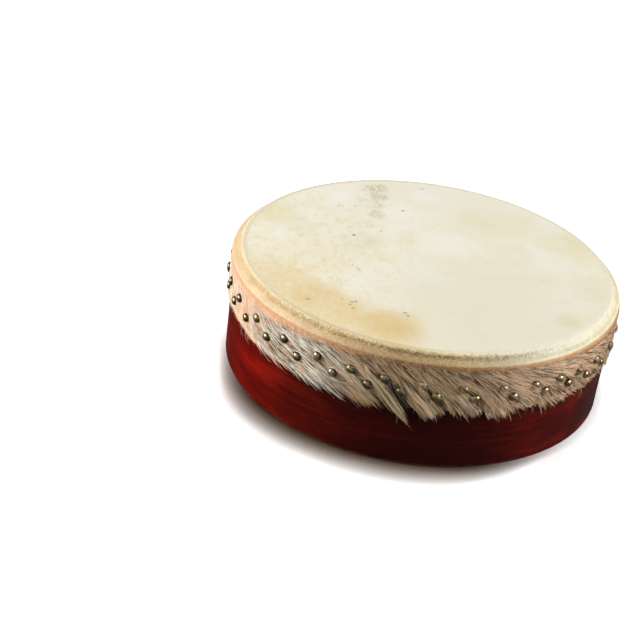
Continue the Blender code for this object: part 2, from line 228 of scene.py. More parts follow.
class Nodes:
    """Short forms for the node tree of a material or world."""

    INPUTS = {"color": "Base Color", "rough": "Roughness", "metal": "Metallic",
              "normal": "Normal", "coat": "Coat Weight", "coat_rough": "Coat Roughness",
              "spec": "Specular IOR Level", "coat_normal": "Coat Normal",
              "glow_color": "Emission Color", "glow": "Emission Strength"}

    def __init__(self, owner):
        self.owner = owner
        owner.use_nodes = True
        self.tree = owner.node_tree

    def put(self, socket, value):
        if isinstance(value, Signal):
            self.tree.links.new(value.socket, socket)
        elif socket.type == "RGBA":
            socket.default_value = (*value, 1.0)
        else:
            socket.default_value = value

    def add(self, kind, inputs=None, out=0, **settings):
        node = self.tree.nodes.new(kind)
        for key, value in settings.items():
            setattr(node, key, value)
        for key, value in (inputs or {}).items():
            self.put(node.inputs[key], value)
        return Signal(self, node.outputs[out])

    def math(self, operation, *values):
        return self.add("ShaderNodeMath", dict(enumerate(values)), operation=operation)

    def coords(self, space="Object"):
        return self.add("ShaderNodeTexCoord", out=space)

    def camera_ray(self):
        return self.add("ShaderNodeLightPath", out="Is Camera Ray")

    def painted(self):
        """The mesh's own vertex colours."""
        return self.add("ShaderNodeAttribute", out="Color", attribute_name="Col")

    def split(self, vector):
        first = self.add("ShaderNodeSeparateXYZ", {0: vector})
        return [first.sibling(i) for i in range(3)]

    def join(self, x, y, z):
        return self.add("ShaderNodeCombineXYZ", {0: x, 1: y, 2: z})

    def radius(self, x, y):
        return self.math("SQRT", x * x + y * y)

    def noise(self, vector, scale=1.0, detail=4.0, rough=0.55, distort=0.0, stretch=None):
        if stretch:
            vector = self.add("ShaderNodeVectorMath", {0: vector, 1: stretch},
                              operation="MULTIPLY")
        return self.add("ShaderNodeTexNoise", {
            "Vector": vector, "Scale": scale, "Detail": detail, "Roughness": rough,
            "Distortion": distort}, out="Fac")

    def ramp(self, value, *stops):
        """Colour ramp through (position, colour) stops."""
        signal = self.add("ShaderNodeValToRGB", {0: value})
        elements = signal.socket.node.color_ramp.elements
        while len(elements) < len(stops):
            elements.new(0.5)
        for element, (position, color) in zip(elements, stops):
            element.position = position
            element.color = (*color, 1.0)
        return signal

    def mix(self, fraction, base, other, mode="MIX"):
        return self.add("ShaderNodeMix", {0: fraction, 6: base, 7: other}, out=2,
                        data_type="RGBA", blend_type=mode)

    def times(self, color, tint):
        return self.mix(1.0, color, tint, "MULTIPLY")

    def span(self, value, start, end, low=0.0, high=1.0):
        """Ease from low to high as value goes from start to end."""
        return self.add("ShaderNodeMapRange", dict(enumerate((value, start, end, low, high))),
                        interpolation_type="SMOOTHSTEP")

    def distance(self, vector, point):
        return self.add("ShaderNodeVectorMath", {0: vector, 1: point}, out="Value",
                        operation="DISTANCE")

    def spot(self, vector, x, y, reach, core):
        """1 near a place on the head, fading out from core * reach to reach."""
        return self.span(self.distance(vector, (x, y, HEAD_Z * MM)), reach, reach * core)

    def strongest(self, signals):
        result = signals[0]
        for signal in signals[1:]:
            result = self.math("MAXIMUM", result, signal)
        return result

    def bump(self, height, strength, distance, normal=None):
        inputs = {"Strength": strength, "Distance": distance, "Height": height}
        if normal:
            inputs["Normal"] = normal
        return self.add("ShaderNodeBump", inputs)

    def set(self, **values):
        """Fill in the Principled shader; gives the material back."""
        shader = self.tree.nodes["Principled BSDF"]
        for key, value in values.items():
            self.put(shader.inputs[self.INPUTS[key]], value)
        return self.owner


def new_material(name):
    return Nodes(bpy.data.materials.new(name))


def drum_coords(mat):
    """(vector of rim length, radius, height), angle, radius, z in metres and radians.

    The angle is 0 at the front and negative on the left, with its seam at the back."""
    x, y, z = mat.split(mat.coords())
    angle = mat.math("ARCTAN2", x, y * -1.0)
    radius = mat.radius(x, y)
    return mat.join(angle * (SHELL_R * MM), radius, z), angle, radius, z


# ---------------------------------------------------------------- materials
def shell_material():
    """Red stain under varnish: glossy outside, dull and browner inside."""
    mat = new_material("red_stained_gloss")
    rim, angle, radius, z = drum_coords(mat)
    fine = mat.noise(rim, stretch=(11.0, 40.0, 300.0), detail=6.0, rough=0.6, distort=0.15)
    band = mat.noise(rim, stretch=(6.0, 10.0, 52.0), distort=0.45)
    cloud = mat.noise(rim, stretch=(11.0, 11.0, 16.0), detail=3.0, rough=0.5, distort=0.6)
    pore = mat.noise(rim, stretch=(26.0, 60.0, 900.0), detail=2.0, rough=0.5)
    tone = fine * 0.24 + (band * 0.34 + cloud * 0.42)
    color = mat.ramp(tone, (0.34, (0.016, 0.0013, 0.0010)), (0.50, (0.072, 0.0038, 0.0020)),
                     (0.66, (0.19, 0.010, 0.004)))
    # painted shade: the front is darker, standing in for the dim light and dark surroundings it
    # reflects
    front = (mat.span(abs(angle + 0.02), 0.75, 0.25)
             * mat.span(cloud, 0.30, 0.62, low=0.75, high=1.0))
    color = mat.mix(front * 0.72, color, (0.013, 0.0018, 0.0016))
    color = mat.mix(mat.span(pore, 0.58, 0.70) * 0.6, color, (0.012, 0.0012, 0.001))
    # stain worn thin along the two eased edges at the bottom
    edge = mat.span(z, 0.0035, 0.0008) * mat.span(mat.noise(rim, stretch=(60.0, 60.0, 60.0)),
                                                  0.35, 0.6)
    color = mat.mix(edge * 0.40, color, (0.20, 0.06, 0.03))
    # scarf joint: a thin slanting glue line at the back
    slant = abs(angle) + z * 1.2
    joint = mat.math("LESS_THAN", abs(slant - 3.19), 0.0016)
    color = mat.mix(joint * 0.8, color, (0.01, 0.002, 0.001))
    # painted light: the left side is made brighter and redder, standing in for the strong light
    # falling on it
    left = mat.span(angle, -0.62, -1.05) * mat.span(angle, -2.6, -2.1)
    color = mat.mix(left, color, mat.times(color, (1.75, 0.72, 0.45)))
    inside = mat.span(radius, 0.2255, 0.2230)
    inner = mat.ramp(tone, (0.32, (0.045, 0.010, 0.005)), (0.52, (0.12, 0.026, 0.011)),
                     (0.70, (0.22, 0.062, 0.026)))
    color = mat.mix(inside, color, inner)
    orange_peel = mat.noise(rim, stretch=(90.0, 90.0, 90.0), detail=2.0)
    coat = (mat.span(angle, -1.0, 0.7, low=0.22, high=1.0)
            * mat.span(inside, 0.0, 1.0, low=1.0, high=0.0) + inside * 0.15)
    return mat.set(color=color, rough=mat.span(inside, 0.0, 1.0, low=0.30, high=0.55),
                   normal=mat.bump(fine, strength=0.10, distance=0.0004), coat=coat,
                   coat_rough=0.07, spec=0.08,
                   coat_normal=mat.bump(orange_peel, strength=0.04, distance=0.0006))


GOLD_FAT = srgb(236, 211, 152)
WHITE_PLACE = srgb(255, 254, 248)

# stains and pale places on the head: x, y, reach in metres, strength, colour
STAINS = (
    (-0.124, -0.122, 0.046, 0.36, srgb(228, 192, 116)),
    (-0.136, -0.142, 0.020, 0.26, srgb(216, 174, 98)),
    (-0.086, -0.150, 0.044, 0.36, srgb(230, 196, 122)),
    (-0.046, -0.176, 0.046, 0.52, srgb(226, 190, 112)),
    (-0.024, -0.186, 0.030, 0.34, srgb(224, 186, 108)),
    (-0.172, -0.092, 0.036, 0.24, srgb(230, 208, 158)),
    (-0.132, -0.030, 0.042, 0.30, srgb(238, 216, 172)),
    (-0.192, 0.070, 0.050, 0.36, srgb(230, 212, 154)),
    (-0.150, 0.045, 0.034, 0.26, srgb(226, 212, 164)),
    (-0.078, 0.030, 0.036, 0.30, srgb(216, 210, 170)),
    (0.058, 0.126, 0.030, 0.34, srgb(238, 220, 184)),
    (0.110, 0.130, 0.060, 0.28, srgb(238, 228, 184)),
    (0.172, 0.084, 0.052, 0.50, srgb(230, 218, 156)),
    (0.104, 0.034, 0.040, 0.26, srgb(234, 226, 186)),
    (0.196, -0.030, 0.046, 0.30, srgb(222, 212, 164)),
    (0.160, -0.114, 0.024, 0.42, srgb(220, 208, 152)),
    (0.020, 0.036, 0.050, 0.50, WHITE_PLACE),
    (-0.030, 0.110, 0.052, 0.55, WHITE_PLACE),
    (-0.004, 0.172, 0.030, 0.50, WHITE_PLACE),
    (-0.108, 0.142, 0.034, 0.45, WHITE_PLACE),
    (-0.178, 0.010, 0.022, 0.40, srgb(252, 252, 246)))

# patches of follicle specks: x, y, reach in metres, strength
FOLLICLES = (
    (-0.068, 0.178, 0.024, 1.0), (-0.064, 0.158, 0.020, 1.0), (-0.066, 0.130, 0.018, 0.75),
    (-0.063, 0.104, 0.018, 0.85), (-0.060, 0.186, 0.014, 1.0), (-0.084, 0.140, 0.012, 0.4),
    (-0.076, 0.066, 0.016, 0.40), (-0.070, 0.024, 0.016, 0.30))

# single dark flecks: x, y, reach in metres, strength
FLECKS = (
    (-0.0889, 0.0355, 0.0034, 0.85), (-0.0300, 0.1230, 0.0036, 0.55),
    (-0.0905, 0.1190, 0.0026, 0.40), (-0.0790, -0.0530, 0.0030, 0.60),
    (-0.0825, -0.0490, 0.0020, 0.50), (-0.0870, -0.0440, 0.0018, 0.45),
    (-0.1112, 0.1160, 0.0032, 0.30), (-0.0560, 0.0560, 0.0028, 0.35),
    (-0.0250, -0.1430, 0.0034, 0.50), (-0.0215, -0.1490, 0.0028, 0.60),
    (-0.0800, -0.1310, 0.0030, 0.60), (-0.0840, -0.1340, 0.0030, 0.50),
    (-0.0860, -0.1400, 0.0026, 0.45), (-0.0820, -0.1470, 0.0034, 0.45),
    (-0.1330, -0.1390, 0.0036, 0.45), (-0.0960, -0.1280, 0.0020, 0.35),
    (-0.0980, -0.0960, 0.0022, 0.25), (-0.0060, 0.1980, 0.0050, 0.25))


def head_color(mat, obj, x, y, radius, angle, mid):
    """Cream of the playing surface with its mottling, stains, specks and scratches."""
    big = mat.noise(obj, scale=9.0, detail=5.0, distort=0.5)
    cream = mat.ramp(big, (0.30, srgb(250, 246, 231)), (0.50, srgb(247, 241, 217)),
                     (0.70, srgb(243, 233, 203)))
    grain = mat.noise(obj, scale=110.0, rough=0.6, distort=0.3)
    # noise, where its tint starts and is full, full strength, tint
    for noise, start, end, strength, tint in (
            (mid, 0.50, 0.72, 0.36, srgb(238, 228, 192)),
            (mid, 0.48, 0.30, 0.35, srgb(249, 247, 238)),
            (grain, 0.54, 0.72, 0.26, srgb(232, 221, 178)),
            (grain, 0.44, 0.28, 0.22, srgb(251, 250, 243))):
        cream = mat.mix(mat.span(noise, start, end, high=strength), cream, tint)
    # finer olive mottling towards the left
    left = mat.span(x, 0.060, -0.110)
    leafy = mat.noise(obj, stretch=(150.0, 84.0, 90.0), rough=0.62, distort=0.6)
    for start, end, tint in ((0.52, 0.70, srgb(222, 206, 152)), (0.46, 0.32, srgb(254, 251, 240))):
        cream = mat.mix(mat.span(leafy, start, end) * (0.10 + left * 0.30), cream, tint)
    # a greyer cast to the right of the front, and a paler one at the back
    grey = mat.span(mat.distance(obj, (0.070, -0.130, HEAD_Z * MM)), 0.19, 0.05)
    cream = mat.mix(grey * 0.62, cream, srgb(236, 230, 207))
    cream = mat.mix(mat.span(y, 0.04, 0.20, high=0.42), cream, srgb(253, 251, 240))
    # a golden crescent of fat along the front left of the rim
    lump = mat.noise(obj, scale=26.0, distort=0.3)
    outer_part = mat.span(radius + mat.span(lump, 0.3, 0.7, low=-0.012, high=0.012), 0.132, 0.172)
    crescent = (outer_part * (mat.span(angle, 0.06, -0.16) * mat.span(angle, -1.50, -1.05))
                * mat.span(leafy, 0.30, 0.56, low=0.55, high=1.0))
    cream = mat.mix(crescent * 0.62, cream, GOLD_FAT)
    for stain_x, stain_y, reach, strength, tint in STAINS:
        stain = (mat.spot(obj, stain_x, stain_y, reach, core=0.15)
                 * mat.span(lump, 0.30, 0.60, low=0.45, high=1.0))
        cream = mat.mix(stain * strength, cream, tint)
    # follicle specks: a patch towards the back, a few strays, and thin pepper over the left
    dots = []
    for scale, cut in ((270.0, 0.34), (450.0, 0.46)):
        near = mat.add("ShaderNodeTexVoronoi", {"Vector": obj, "Scale": scale}, out="Distance")
        own = mat.split(near.sibling("Color"))[0]
        dots.append(mat.span(near, 0.46, 0.14) * mat.span(own, cut, cut + 0.3))
    dots = mat.strongest(dots)
    spots = mat.strongest([mat.spot(obj, spot_x, spot_y, reach, core=0.30) * strength
                           for spot_x, spot_y, reach, strength in FOLLICLES])
    patch = mat.noise(obj, stretch=(140.0, 80.0, 80.0), rough=0.6)
    spots = spots * mat.span(patch, 0.36, 0.60, low=0.20, high=1.0)
    cream = mat.mix(spots * 0.55, cream, srgb(206, 194, 150))
    cream = mat.mix(spots * dots * 0.66, cream, srgb(120, 106, 66))
    cream = mat.mix(dots * left * mat.span(patch, 0.50, 0.66, high=0.22), cream,
                    srgb(168, 146, 92))
    for fleck_x, fleck_y, reach, strength in FLECKS:
        fleck = mat.spot(obj, fleck_x, fleck_y, reach, core=0.25) * strength
        cream = mat.mix(fleck * mat.span(grain, 0.34, 0.50, low=0.55, high=1.0), cream,
                        srgb(126, 98, 48))
    # thin scratches left by scraping the hide
    along_x = mat.noise(obj, stretch=(30.0, 420.0, 30.0), detail=2.0, rough=0.5, distort=1.2)
    cream = mat.mix(mat.span(along_x, 0.66, 0.76, high=0.20), cream, srgb(252, 249, 238))
    along_y = mat.noise(obj, stretch=(300.0, 26.0, 26.0), detail=2.0, rough=0.5, distort=1.5)
    return mat.mix(mat.span(along_y, 0.68, 0.80, high=0.16), cream, srgb(205, 190, 150))


def rim_color(mat, obj, z, radius, angle):
    """Roll, band and skirt: painted per vertex, broken up with fine noise."""
    painted = mat.painted()
    # grain of the hide: dark stipple all over, with more added in the hollow in front as painted
    # shade
    front = mat.span(abs(angle + 0.16), 1.05, 0.30)
    hollow = mat.span(radius, 0.2188, 0.2216) * mat.span(radius, 0.2272, 0.2240)
    stipple = mat.noise(obj, scale=470.0, detail=3.0, rough=0.65)
    coarse = mat.noise(obj, scale=210.0, detail=3.0, rough=0.6)
    amount = 0.16 + front * hollow * 0.50
    dark = mat.span(stipple * 0.65 + coarse * 0.35, 0.45, 0.60) * amount
    painted = mat.mix(dark, painted, mat.times(painted, srgb(160, 140, 98)))
    light = mat.span(stipple, 0.47, 0.36) * (0.10 + front * 0.16)
    painted = mat.mix(light, painted, srgb(246, 228, 186))
    # fine slanting lie of the down on the skirt
    rim_length = angle * (SKIRT_R * MM)
    along = rim_length * 0.60 - z * 0.80
    across = rim_length * 0.80 + z * 0.60
    down = mat.noise(mat.join(along * 90.0, across * 900.0, 0.0), detail=3.0, rough=0.6,
                     distort=0.6)
    below = mat.span(z, 0.1290, 0.1250)
    painted = mat.mix(mat.span(down, 0.50, 0.66) * (below * 0.55), painted,
                      mat.times(painted, srgb(206, 172, 142)))
    return mat.mix(mat.span(down, 0.48, 0.34) * (below * 0.50), painted, srgb(244, 226, 204))


def skin_material():
    mat = new_material("goatskin")
    obj = mat.coords()
    x, y, z = mat.split(obj)
    radius = mat.radius(x, y)
    angle = mat.math("ARCTAN2", x, y * -1.0)
    mid = mat.noise(obj, scale=38.0, detail=5.0, rough=0.6, distort=0.4)
    color = mat.mix(mat.span(radius, 0.2120, 0.2172),
                    head_color(mat, obj, x, y, radius, angle, mid),
                    rim_color(mat, obj, z, radius, angle))
    # flesh side, told by its normal, which still points down while the head stretches
    normal_z = mat.split(mat.add("ShaderNodeNewGeometry", out="Normal"))[2]
    under = mat.span(normal_z, 0.05, -0.05) * mat.span(radius, 0.2150, 0.2120)
    flesh = mat.ramp(mat.noise(obj, scale=22.0, detail=6.0, rough=0.6, distort=0.8),
                     (0.3, srgb(186, 160, 116)), (0.55, srgb(214, 192, 148)),
                     (0.75, srgb(228, 212, 174)))
    color = mat.mix(under, color, flesh)
    fine = mat.noise(obj, scale=260.0, rough=0.6)
    pores = mat.noise(obj, scale=900.0, detail=3.0, rough=0.6)
    normal = mat.bump(fine * 0.7 + pores * 0.3, strength=0.22, distance=0.0004)
    normal = mat.bump(mid, strength=0.10, distance=0.0012, normal=normal)
    return mat.set(color=color, rough=mat.span(mid, 0.3, 0.7, low=0.50, high=0.64),
                   normal=normal, spec=0.35)


def hair_material(name, rough, spec):
    mat = new_material(name)
    return mat.set(color=mat.painted(), rough=rough, spec=spec)


def brass_material():
    """Vertex colour: red is the height up the dome, green the nail's own tone."""
    mat = new_material("antique_brass")
    up, tone, _ = mat.split(mat.painted())
    obj = mat.coords()
    wear = up * 0.75 + mat.noise(obj, scale=700.0, rough=0.65) * 0.45
    color = mat.ramp(wear * mat.span(tone, 0.0, 1.0, low=0.86, high=1.08),
                     (0.12, srgb(46, 40, 29)), (0.52, srgb(98, 87, 62)),
                     (0.98, srgb(180, 165, 130)))
    smear = mat.noise(obj, scale=1100.0, detail=3.0, rough=0.6)
    dents = mat.noise(obj, scale=420.0, detail=3.0, rough=0.5)
    return mat.set(color=color, rough=mat.span(smear, 0.3, 0.7, low=0.26, high=0.44), metal=1.0,
                   normal=mat.bump(dents, strength=0.18, distance=0.0004))


def metal_material(name, color, rough):
    """Steel with dull clouds and a little rust."""
    mat = new_material(name)
    obj = mat.coords()
    fine = mat.noise(obj, scale=900.0, detail=3.0, rough=0.6)
    cloud = mat.noise(obj, scale=120.0, rough=0.6)
    dull = tuple(0.72 * c for c in color)
    mixed = mat.mix(mat.span(cloud, 0.35, 0.70), color, dull)
    rust = mat.span(mat.noise(obj, scale=260.0, detail=5.0, rough=0.7), 0.66, 0.80, high=0.35)
    mixed = mat.mix(rust, mixed, (0.16, 0.10, 0.06))
    return mat.set(color=mixed, metal=1.0,
                   rough=mat.span(fine, 0.3, 0.7, low=rough - 0.08, high=rough + 0.10),
                   normal=mat.bump(fine, strength=0.10, distance=0.0002))


def hoop_material():
    """Pale straight-grained wood whose grain runs round the drum."""
    mat = new_material("pale_wood")
    rim = drum_coords(mat)[0]
    stretch = (7.0, 300.0, 300.0)
    dark = (0.26, 0.15, 0.07)
    fine = mat.noise(rim, stretch=stretch, detail=7.0, rough=0.62, distort=0.25)
    pore = mat.noise(rim, stretch=tuple(3.2 * s for s in stretch), detail=3.0, rough=0.5)
    cloud = mat.noise(rim, stretch=(9.0, 9.0, 22.0), detail=3.0, rough=0.5, distort=0.4)
    color = mat.ramp(fine * 0.65 + cloud * 0.35, (0.30, dark), (0.50, (0.47, 0.31, 0.16)),
                     (0.70, (0.62, 0.45, 0.26)))
    color = mat.mix(mat.span(pore, 0.56, 0.72) * 0.55, color, dark)
    return mat.set(color=color, rough=mat.span(cloud, 0.3, 0.7, low=0.50, high=0.62),
                   normal=mat.bump(fine, strength=0.15, distance=0.0006), coat=0.10,
                   coat_rough=0.3, spec=0.35)


def bar_material():
    """Dark red varnished wood, grain along X."""
    mat = new_material("varnished_wood")
    obj = mat.coords()
    fine = mat.noise(obj, stretch=(7.0, 300.0, 300.0), detail=6.0, rough=0.6, distort=0.3)
    cloud = mat.noise(obj, stretch=(14.0, 30.0, 30.0), detail=3.0, rough=0.5)
    color = mat.ramp(fine * 0.65 + cloud * 0.35, (0.32, (0.030, 0.0050, 0.0028)),
                     (0.50, (0.10, 0.013, 0.0065)), (0.68, (0.22, 0.040, 0.016)))
    return mat.set(color=color, rough=mat.span(cloud, 0.3, 0.7, low=0.34, high=0.5),
                   normal=mat.bump(fine, strength=0.15, distance=0.0005), coat=0.5,
                   coat_rough=0.18, spec=0.3)


SHELL_MAT = shell_material()
SKIN_MAT = skin_material()
HAIR_MAT = hair_material("goat_hair", rough=0.46, spec=0.28)
TUFT_MAT = hair_material("goat_hair_tufts", rough=0.40, spec=0.48)
BRASS_MAT = brass_material()
ZINC_MAT = metal_material("zinc_steel", color=(0.56, 0.56, 0.55), rough=0.36)
BLACK_MAT = metal_material("black_steel", color=(0.060, 0.060, 0.064), rough=0.38)
HOOP_MAT = hoop_material()
BAR_MAT = bar_material()


# ---------------------------------------------------------------- tack positions, from the CAD
def tack_places(node):
    """(degrees, z) of each dome's crown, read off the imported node."""
    points = np.array([v.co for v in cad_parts[node].data.vertices]) / MM
    radius = np.hypot(points[:, 0], points[:, 1])
    crowns = points[radius > radius.max() - 0.12]
    angles = np.degrees(np.arctan2(crowns[:, 1], crowns[:, 0]))
    order = np.argsort(angles)
    places = []
    for angle, z in zip(angles[order], crowns[order, 2]):
        if not places or angle - places[-1][0] > 1.0:
            places.append((angle, z))
    return np.array(places)


UPPER_TACKS = tack_places("tacks_upper_row")
LOWER_TACKS = tack_places("tacks_lower_row")
TACKS = np.concatenate([UPPER_TACKS, LOWER_TACKS])


def tack_nearest(deg, z):
    """Distance to the nearest tack's centre, and the offset from it round the rim and up."""
    best = np.full(np.shape(deg), 1e9)
    best_x = np.zeros(np.shape(deg))
    best_y = np.zeros(np.shape(deg))
    for tack_deg, tack_z in TACKS:
        x = wrap180(deg - tack_deg) * math.pi / 180.0 * SKIRT_R
        y = z - tack_z
        distance = np.hypot(x, y)
        nearer = distance < best
        best = np.where(nearer, distance, best)
        best_x, best_y = np.where(nearer, x, best_x), np.where(nearer, y, best_y)
    return best, best_x, best_y


# ---------------------------------------------------------------- skin colours
# tones round the rim at TONE_AT degrees, each ring of the hide from the head outwards and down
# besides the hide's own colour these hold painted shade: the rings are darker in front, where less
# light falls, and the skirt is darker under the dense coat
TONE_AT = (-168, -147, -120, -99, -80, -50, 0, 95, 150)
RIM_TONES = {
    "ridge": ((240, 228, 196), (240, 225, 188), (225, 204, 161), (221, 202, 157), (240, 230, 194),
              (249, 246, 227), (246, 240, 214), (238, 226, 192), (240, 228, 196)),
    "hollow": ((211, 186, 145), (197, 166, 123), (213, 184, 138), (170, 143, 98), (182, 160, 116),
               (246, 239, 213), (232, 220, 184), (208, 188, 148), (210, 188, 148)),
    "band": ((208, 178, 132), (218, 192, 158), (203, 179, 138), (170, 141, 100), (194, 167, 122),
             (224, 217, 190), (224, 210, 174), (204, 180, 136), (214, 186, 140)),
    "lip": ((216, 186, 152), (238, 204, 166), (212, 184, 145), (168, 139, 97), (190, 164, 118),
            (244, 236, 210), (234, 220, 184), (218, 198, 156), (226, 212, 174)),
    "crease": ((213, 172, 138), (216, 164, 122), (206, 154, 110), (150, 111, 74), (166, 124, 80),
               (224, 176, 120), (206, 162, 116), (180, 138, 98), (206, 164, 126)),
    "skirt": ((215, 184, 153), (216, 177, 144), (194, 146, 110), (92, 66, 46), (102, 76, 56),
              (186, 146, 112), (160, 126, 98), (110, 86, 66), (190, 158, 128))}

# partings between the big tufts, made dark with painted shade: (degrees, z) of the top and the
# bottom, half width in mm
GAPS = (((-99.4, 100.0), (-90.0, 62.0), 6.4), ((-106.6, 97.0), (-98.2, 70.0), 2.2),
        ((-89.6, 104.0), (-81.8, 71.0), 2.6), ((-76.5, 94.0), (-72.5, 76.0), 1.5))
GAP_MM_PER_DEG = 4.03


def rim_tone(ring, deg):
    first = TONE_AT[0]
    tones = RIM_TONES[ring]
    stations = np.array(TONE_AT + (first + 360,))
    linear = np.array([srgb(*t) for t in tones + (tones[0],)])
    deg = (np.asarray(deg) - first) % 360.0 + first
    return np.stack([np.interp(deg, stations, linear[:, k]) for k in range(3)], -1)


def in_gap(deg, z):
    hit = np.zeros(np.shape(deg), bool)
    for (top_deg, top_z), (end_deg, end_z), half_width in GAPS:
        t = np.clip((top_z - z) / (top_z - end_z), 0, 1)
        off = np.abs((deg - (top_deg + (end_deg - top_deg) * t)) * GAP_MM_PER_DEG)
        hit |= (off < half_width * (0.5 + 0.6 * t)) & (z < top_z)
    return hit


def paint_skin(deg, radius, z):
    """Linear colour of the roll, band and skirt."""
    deg = np.broadcast_to(deg, radius.shape)
    blotch, fleck, drift, speck = (
        ring_noise(seed, lumps, height)(deg, z) * 0.5 + 0.5
        for seed, lumps, height in ((21, 90, 9.0), (22, 300, 2.6), (23, 30, 60.0), (24, 420, 1.6)))
    shifted = deg + 3.0 * (drift - 0.5)
    rough_r = radius + 0.8 * (blotch - 0.5)
    front = smooth(50, 18, np.abs(wrap180(deg + 99)))
    color = rim_tone("ridge", shifted)
    color = blend_color(color, rim_tone("hollow", shifted),
                        smooth(220.6, 223.0, rough_r + 1.0 * smooth(-125, -150, deg)))
    color = blend_color(color, rim_tone("band", shifted), smooth(224.6, 226.8, rough_r))
    color = blend_color(color, rim_tone("lip", shifted), smooth(228.2, 229.4, radius))
    # painted shade: a darker line along the bottom of the hollow, strongest in front
    line = np.exp(-((radius - 223.4) / 2.0) ** 2) * (z > 132)
    color = blend_color(color, color * np.array(srgb(200, 184, 146)),
                        line * (0.15 + 0.60 * front) * (0.35 + 0.65 * fleck))
    mottle = smooth(219.8, 222.0, radius) * (z > 131.0)
    color = color * (1.0 + (0.20 * (blotch - 0.5) + 0.14 * (speck - 0.5)) * mottle)[..., None]
    # the crease under the outer ridge: partly the hide's own orange, partly painted shade where the
    # skin turns down
    crease = rim_tone("crease", shifted) * (1.0 - 0.30 * fleck * speck)[..., None]
    side = smooth(131.2, 129.9, z + 0.5 * (fleck - 0.5)) * (radius > 229)
    color = blend_color(color, crease, side)
    skirt = rim_tone("skirt", shifted)
    skirt = skirt * (1.0 + 0.22 * (blotch - 0.5) + 0.20 * (fleck - 0.5))[..., None]
    # painted shade: the skirt in the partings is darkened almost to black
    gap = in_gap(deg, z) & (z < 112)
    skirt = np.where(gap[..., None], skirt * 0.15, skirt)
    return blend_color(color, skirt, smooth(126.5, 123.0, z + 1.2 * (blotch - 0.5)))


# ---------------------------------------------------------------- the skin
edge_noise = ring_noise(11, 60)
edge_noise_fine = ring_noise(12, 170)
wave_noise = ring_noise(13, 48, 26.0)
wave_noise_fine = ring_noise(14, 120, 14.0)
roll_noise = ring_noise(15, 36, 40.0)
pucker_noise = ring_noise(16, 190, 30.0)
pucker_noise_fine = ring_noise(17, 340, 6.0)

SKIN_COLUMNS = 720
SKIRT_ROWS = 26
SKIRT_TOP_Z = 125.0

# (radius, z) of the skin's outer face, from the head over the roll and ridges to the skirt
HEAD_PROFILE = (
    (16.0, 140.04), (48.0, 140.05), (90.0, 140.05), (130.0, 140.05), (165.0, 140.05),
    (190.0, 140.05), (203.0, 140.05), (210.0, 140.04), (213.5, 140.05), (215.6, 140.12),
    (217.2, 140.22), (218.4, 140.24), (219.4, 140.10), (220.3, 139.80), (221.2, 139.32),
    (222.2, 138.55), (223.4, 137.30), (224.8, 135.70), (226.4, 134.10), (227.8, 132.95),
    (228.9, 132.20), (229.8, 131.55), (230.5, 130.75), (230.95, 129.75), (231.15, 128.5),
    (231.25, 126.8))
# ends of the straight slope that the hollow comes close to in front
SLOPE_TOP, SLOPE_END = (220.3, 139.45), (230.95, 129.75)


def skirt_bottom(deg):
    high = 6.5 * np.exp(-(wrap180(np.asarray(deg) + 164) / 17.0) ** 2)  # cut higher at the left
    return 74.6 + high + 1.3 * edge_noise(deg, 0) + 0.8 * edge_noise_fine(deg, 0)


def waves(deg, z):
    return 0.32 * wave_noise(deg, z), 0.14 * wave_noise_fine(deg, z)


def skirt_surface(deg, t):
    """Radius and z of the skirt's outer face; t is 0 under the roll, 1 at the cut edge."""
    z = SKIRT_TOP_Z + (skirt_bottom(deg) - SKIRT_TOP_Z) * t
    settled = smooth(0.0, 0.18, t)
    radius = SKIRT_FACE_R - 0.15 * smooth(0, 0.3, t) + settled * sum(waves(deg, z))
    distance, _, _ = tack_nearest(deg, z)
    radius = radius - 0.40 * np.exp(-(distance / 7.0) ** 2) * settled
    flare = smooth(0.86, 1.0, t) * (0.55 + 0.75 * (edge_noise_fine(deg + 7.0, 3.0) * 0.5 + 0.5))
    return radius + flare, z


def skin_face(deg):
    """(columns, rows) of radius and z for the outer face."""
    n_head = len(HEAD_PROFILE)
    radius = np.zeros((len(deg), n_head + SKIRT_ROWS))
    z = np.zeros_like(radius)
    pucker = pucker_noise(deg, 0) * 0.5 + 0.5
    front = np.exp(-(wrap180(deg + 96) / 30.0) ** 2)
    slope_run = SLOPE_END[0] - SLOPE_TOP[0]
    for k, (row_r, row_z) in enumerate(HEAD_PROFILE):
        radius[:, k], z[:, k] = row_r, row_z
        if 220.5 < row_r < 230.9:           # the hollow between the ridges is shallow in front
            t = (row_r - SLOPE_TOP[0]) / slope_run
            flat = SLOPE_TOP[1] + t * (SLOPE_END[1] - SLOPE_TOP[1])
            z[:, k] += (flat + 0.9 * math.sin(math.pi * t) - row_z) * 0.75 * front
        on_roll = math.exp(-((row_r - 219.5) / 2.6) ** 2)
        on_band = float(smooth(220.5, 223.0, row_r) * smooth(230.6, 228.6, row_r))
        on_ridge = math.exp(-((row_r - 229.6) / 1.2) ** 2)
        z[:, k] += (0.12 * roll_noise(deg, 0) * on_roll - 0.34 * on_band * pucker
                    + 0.24 * on_ridge * roll_noise(deg + 40, 0)
                    + 0.10 * on_band * pucker_noise_fine(deg, row_r * 3.0))
        radius[:, k] += 0.18 * on_ridge * roll_noise(deg + 90, 5)
    for k in range(SKIRT_ROWS):
        radius[:, n_head + k], z[:, n_head + k] = skirt_surface(deg, k / (SKIRT_ROWS - 1))
    return radius, z


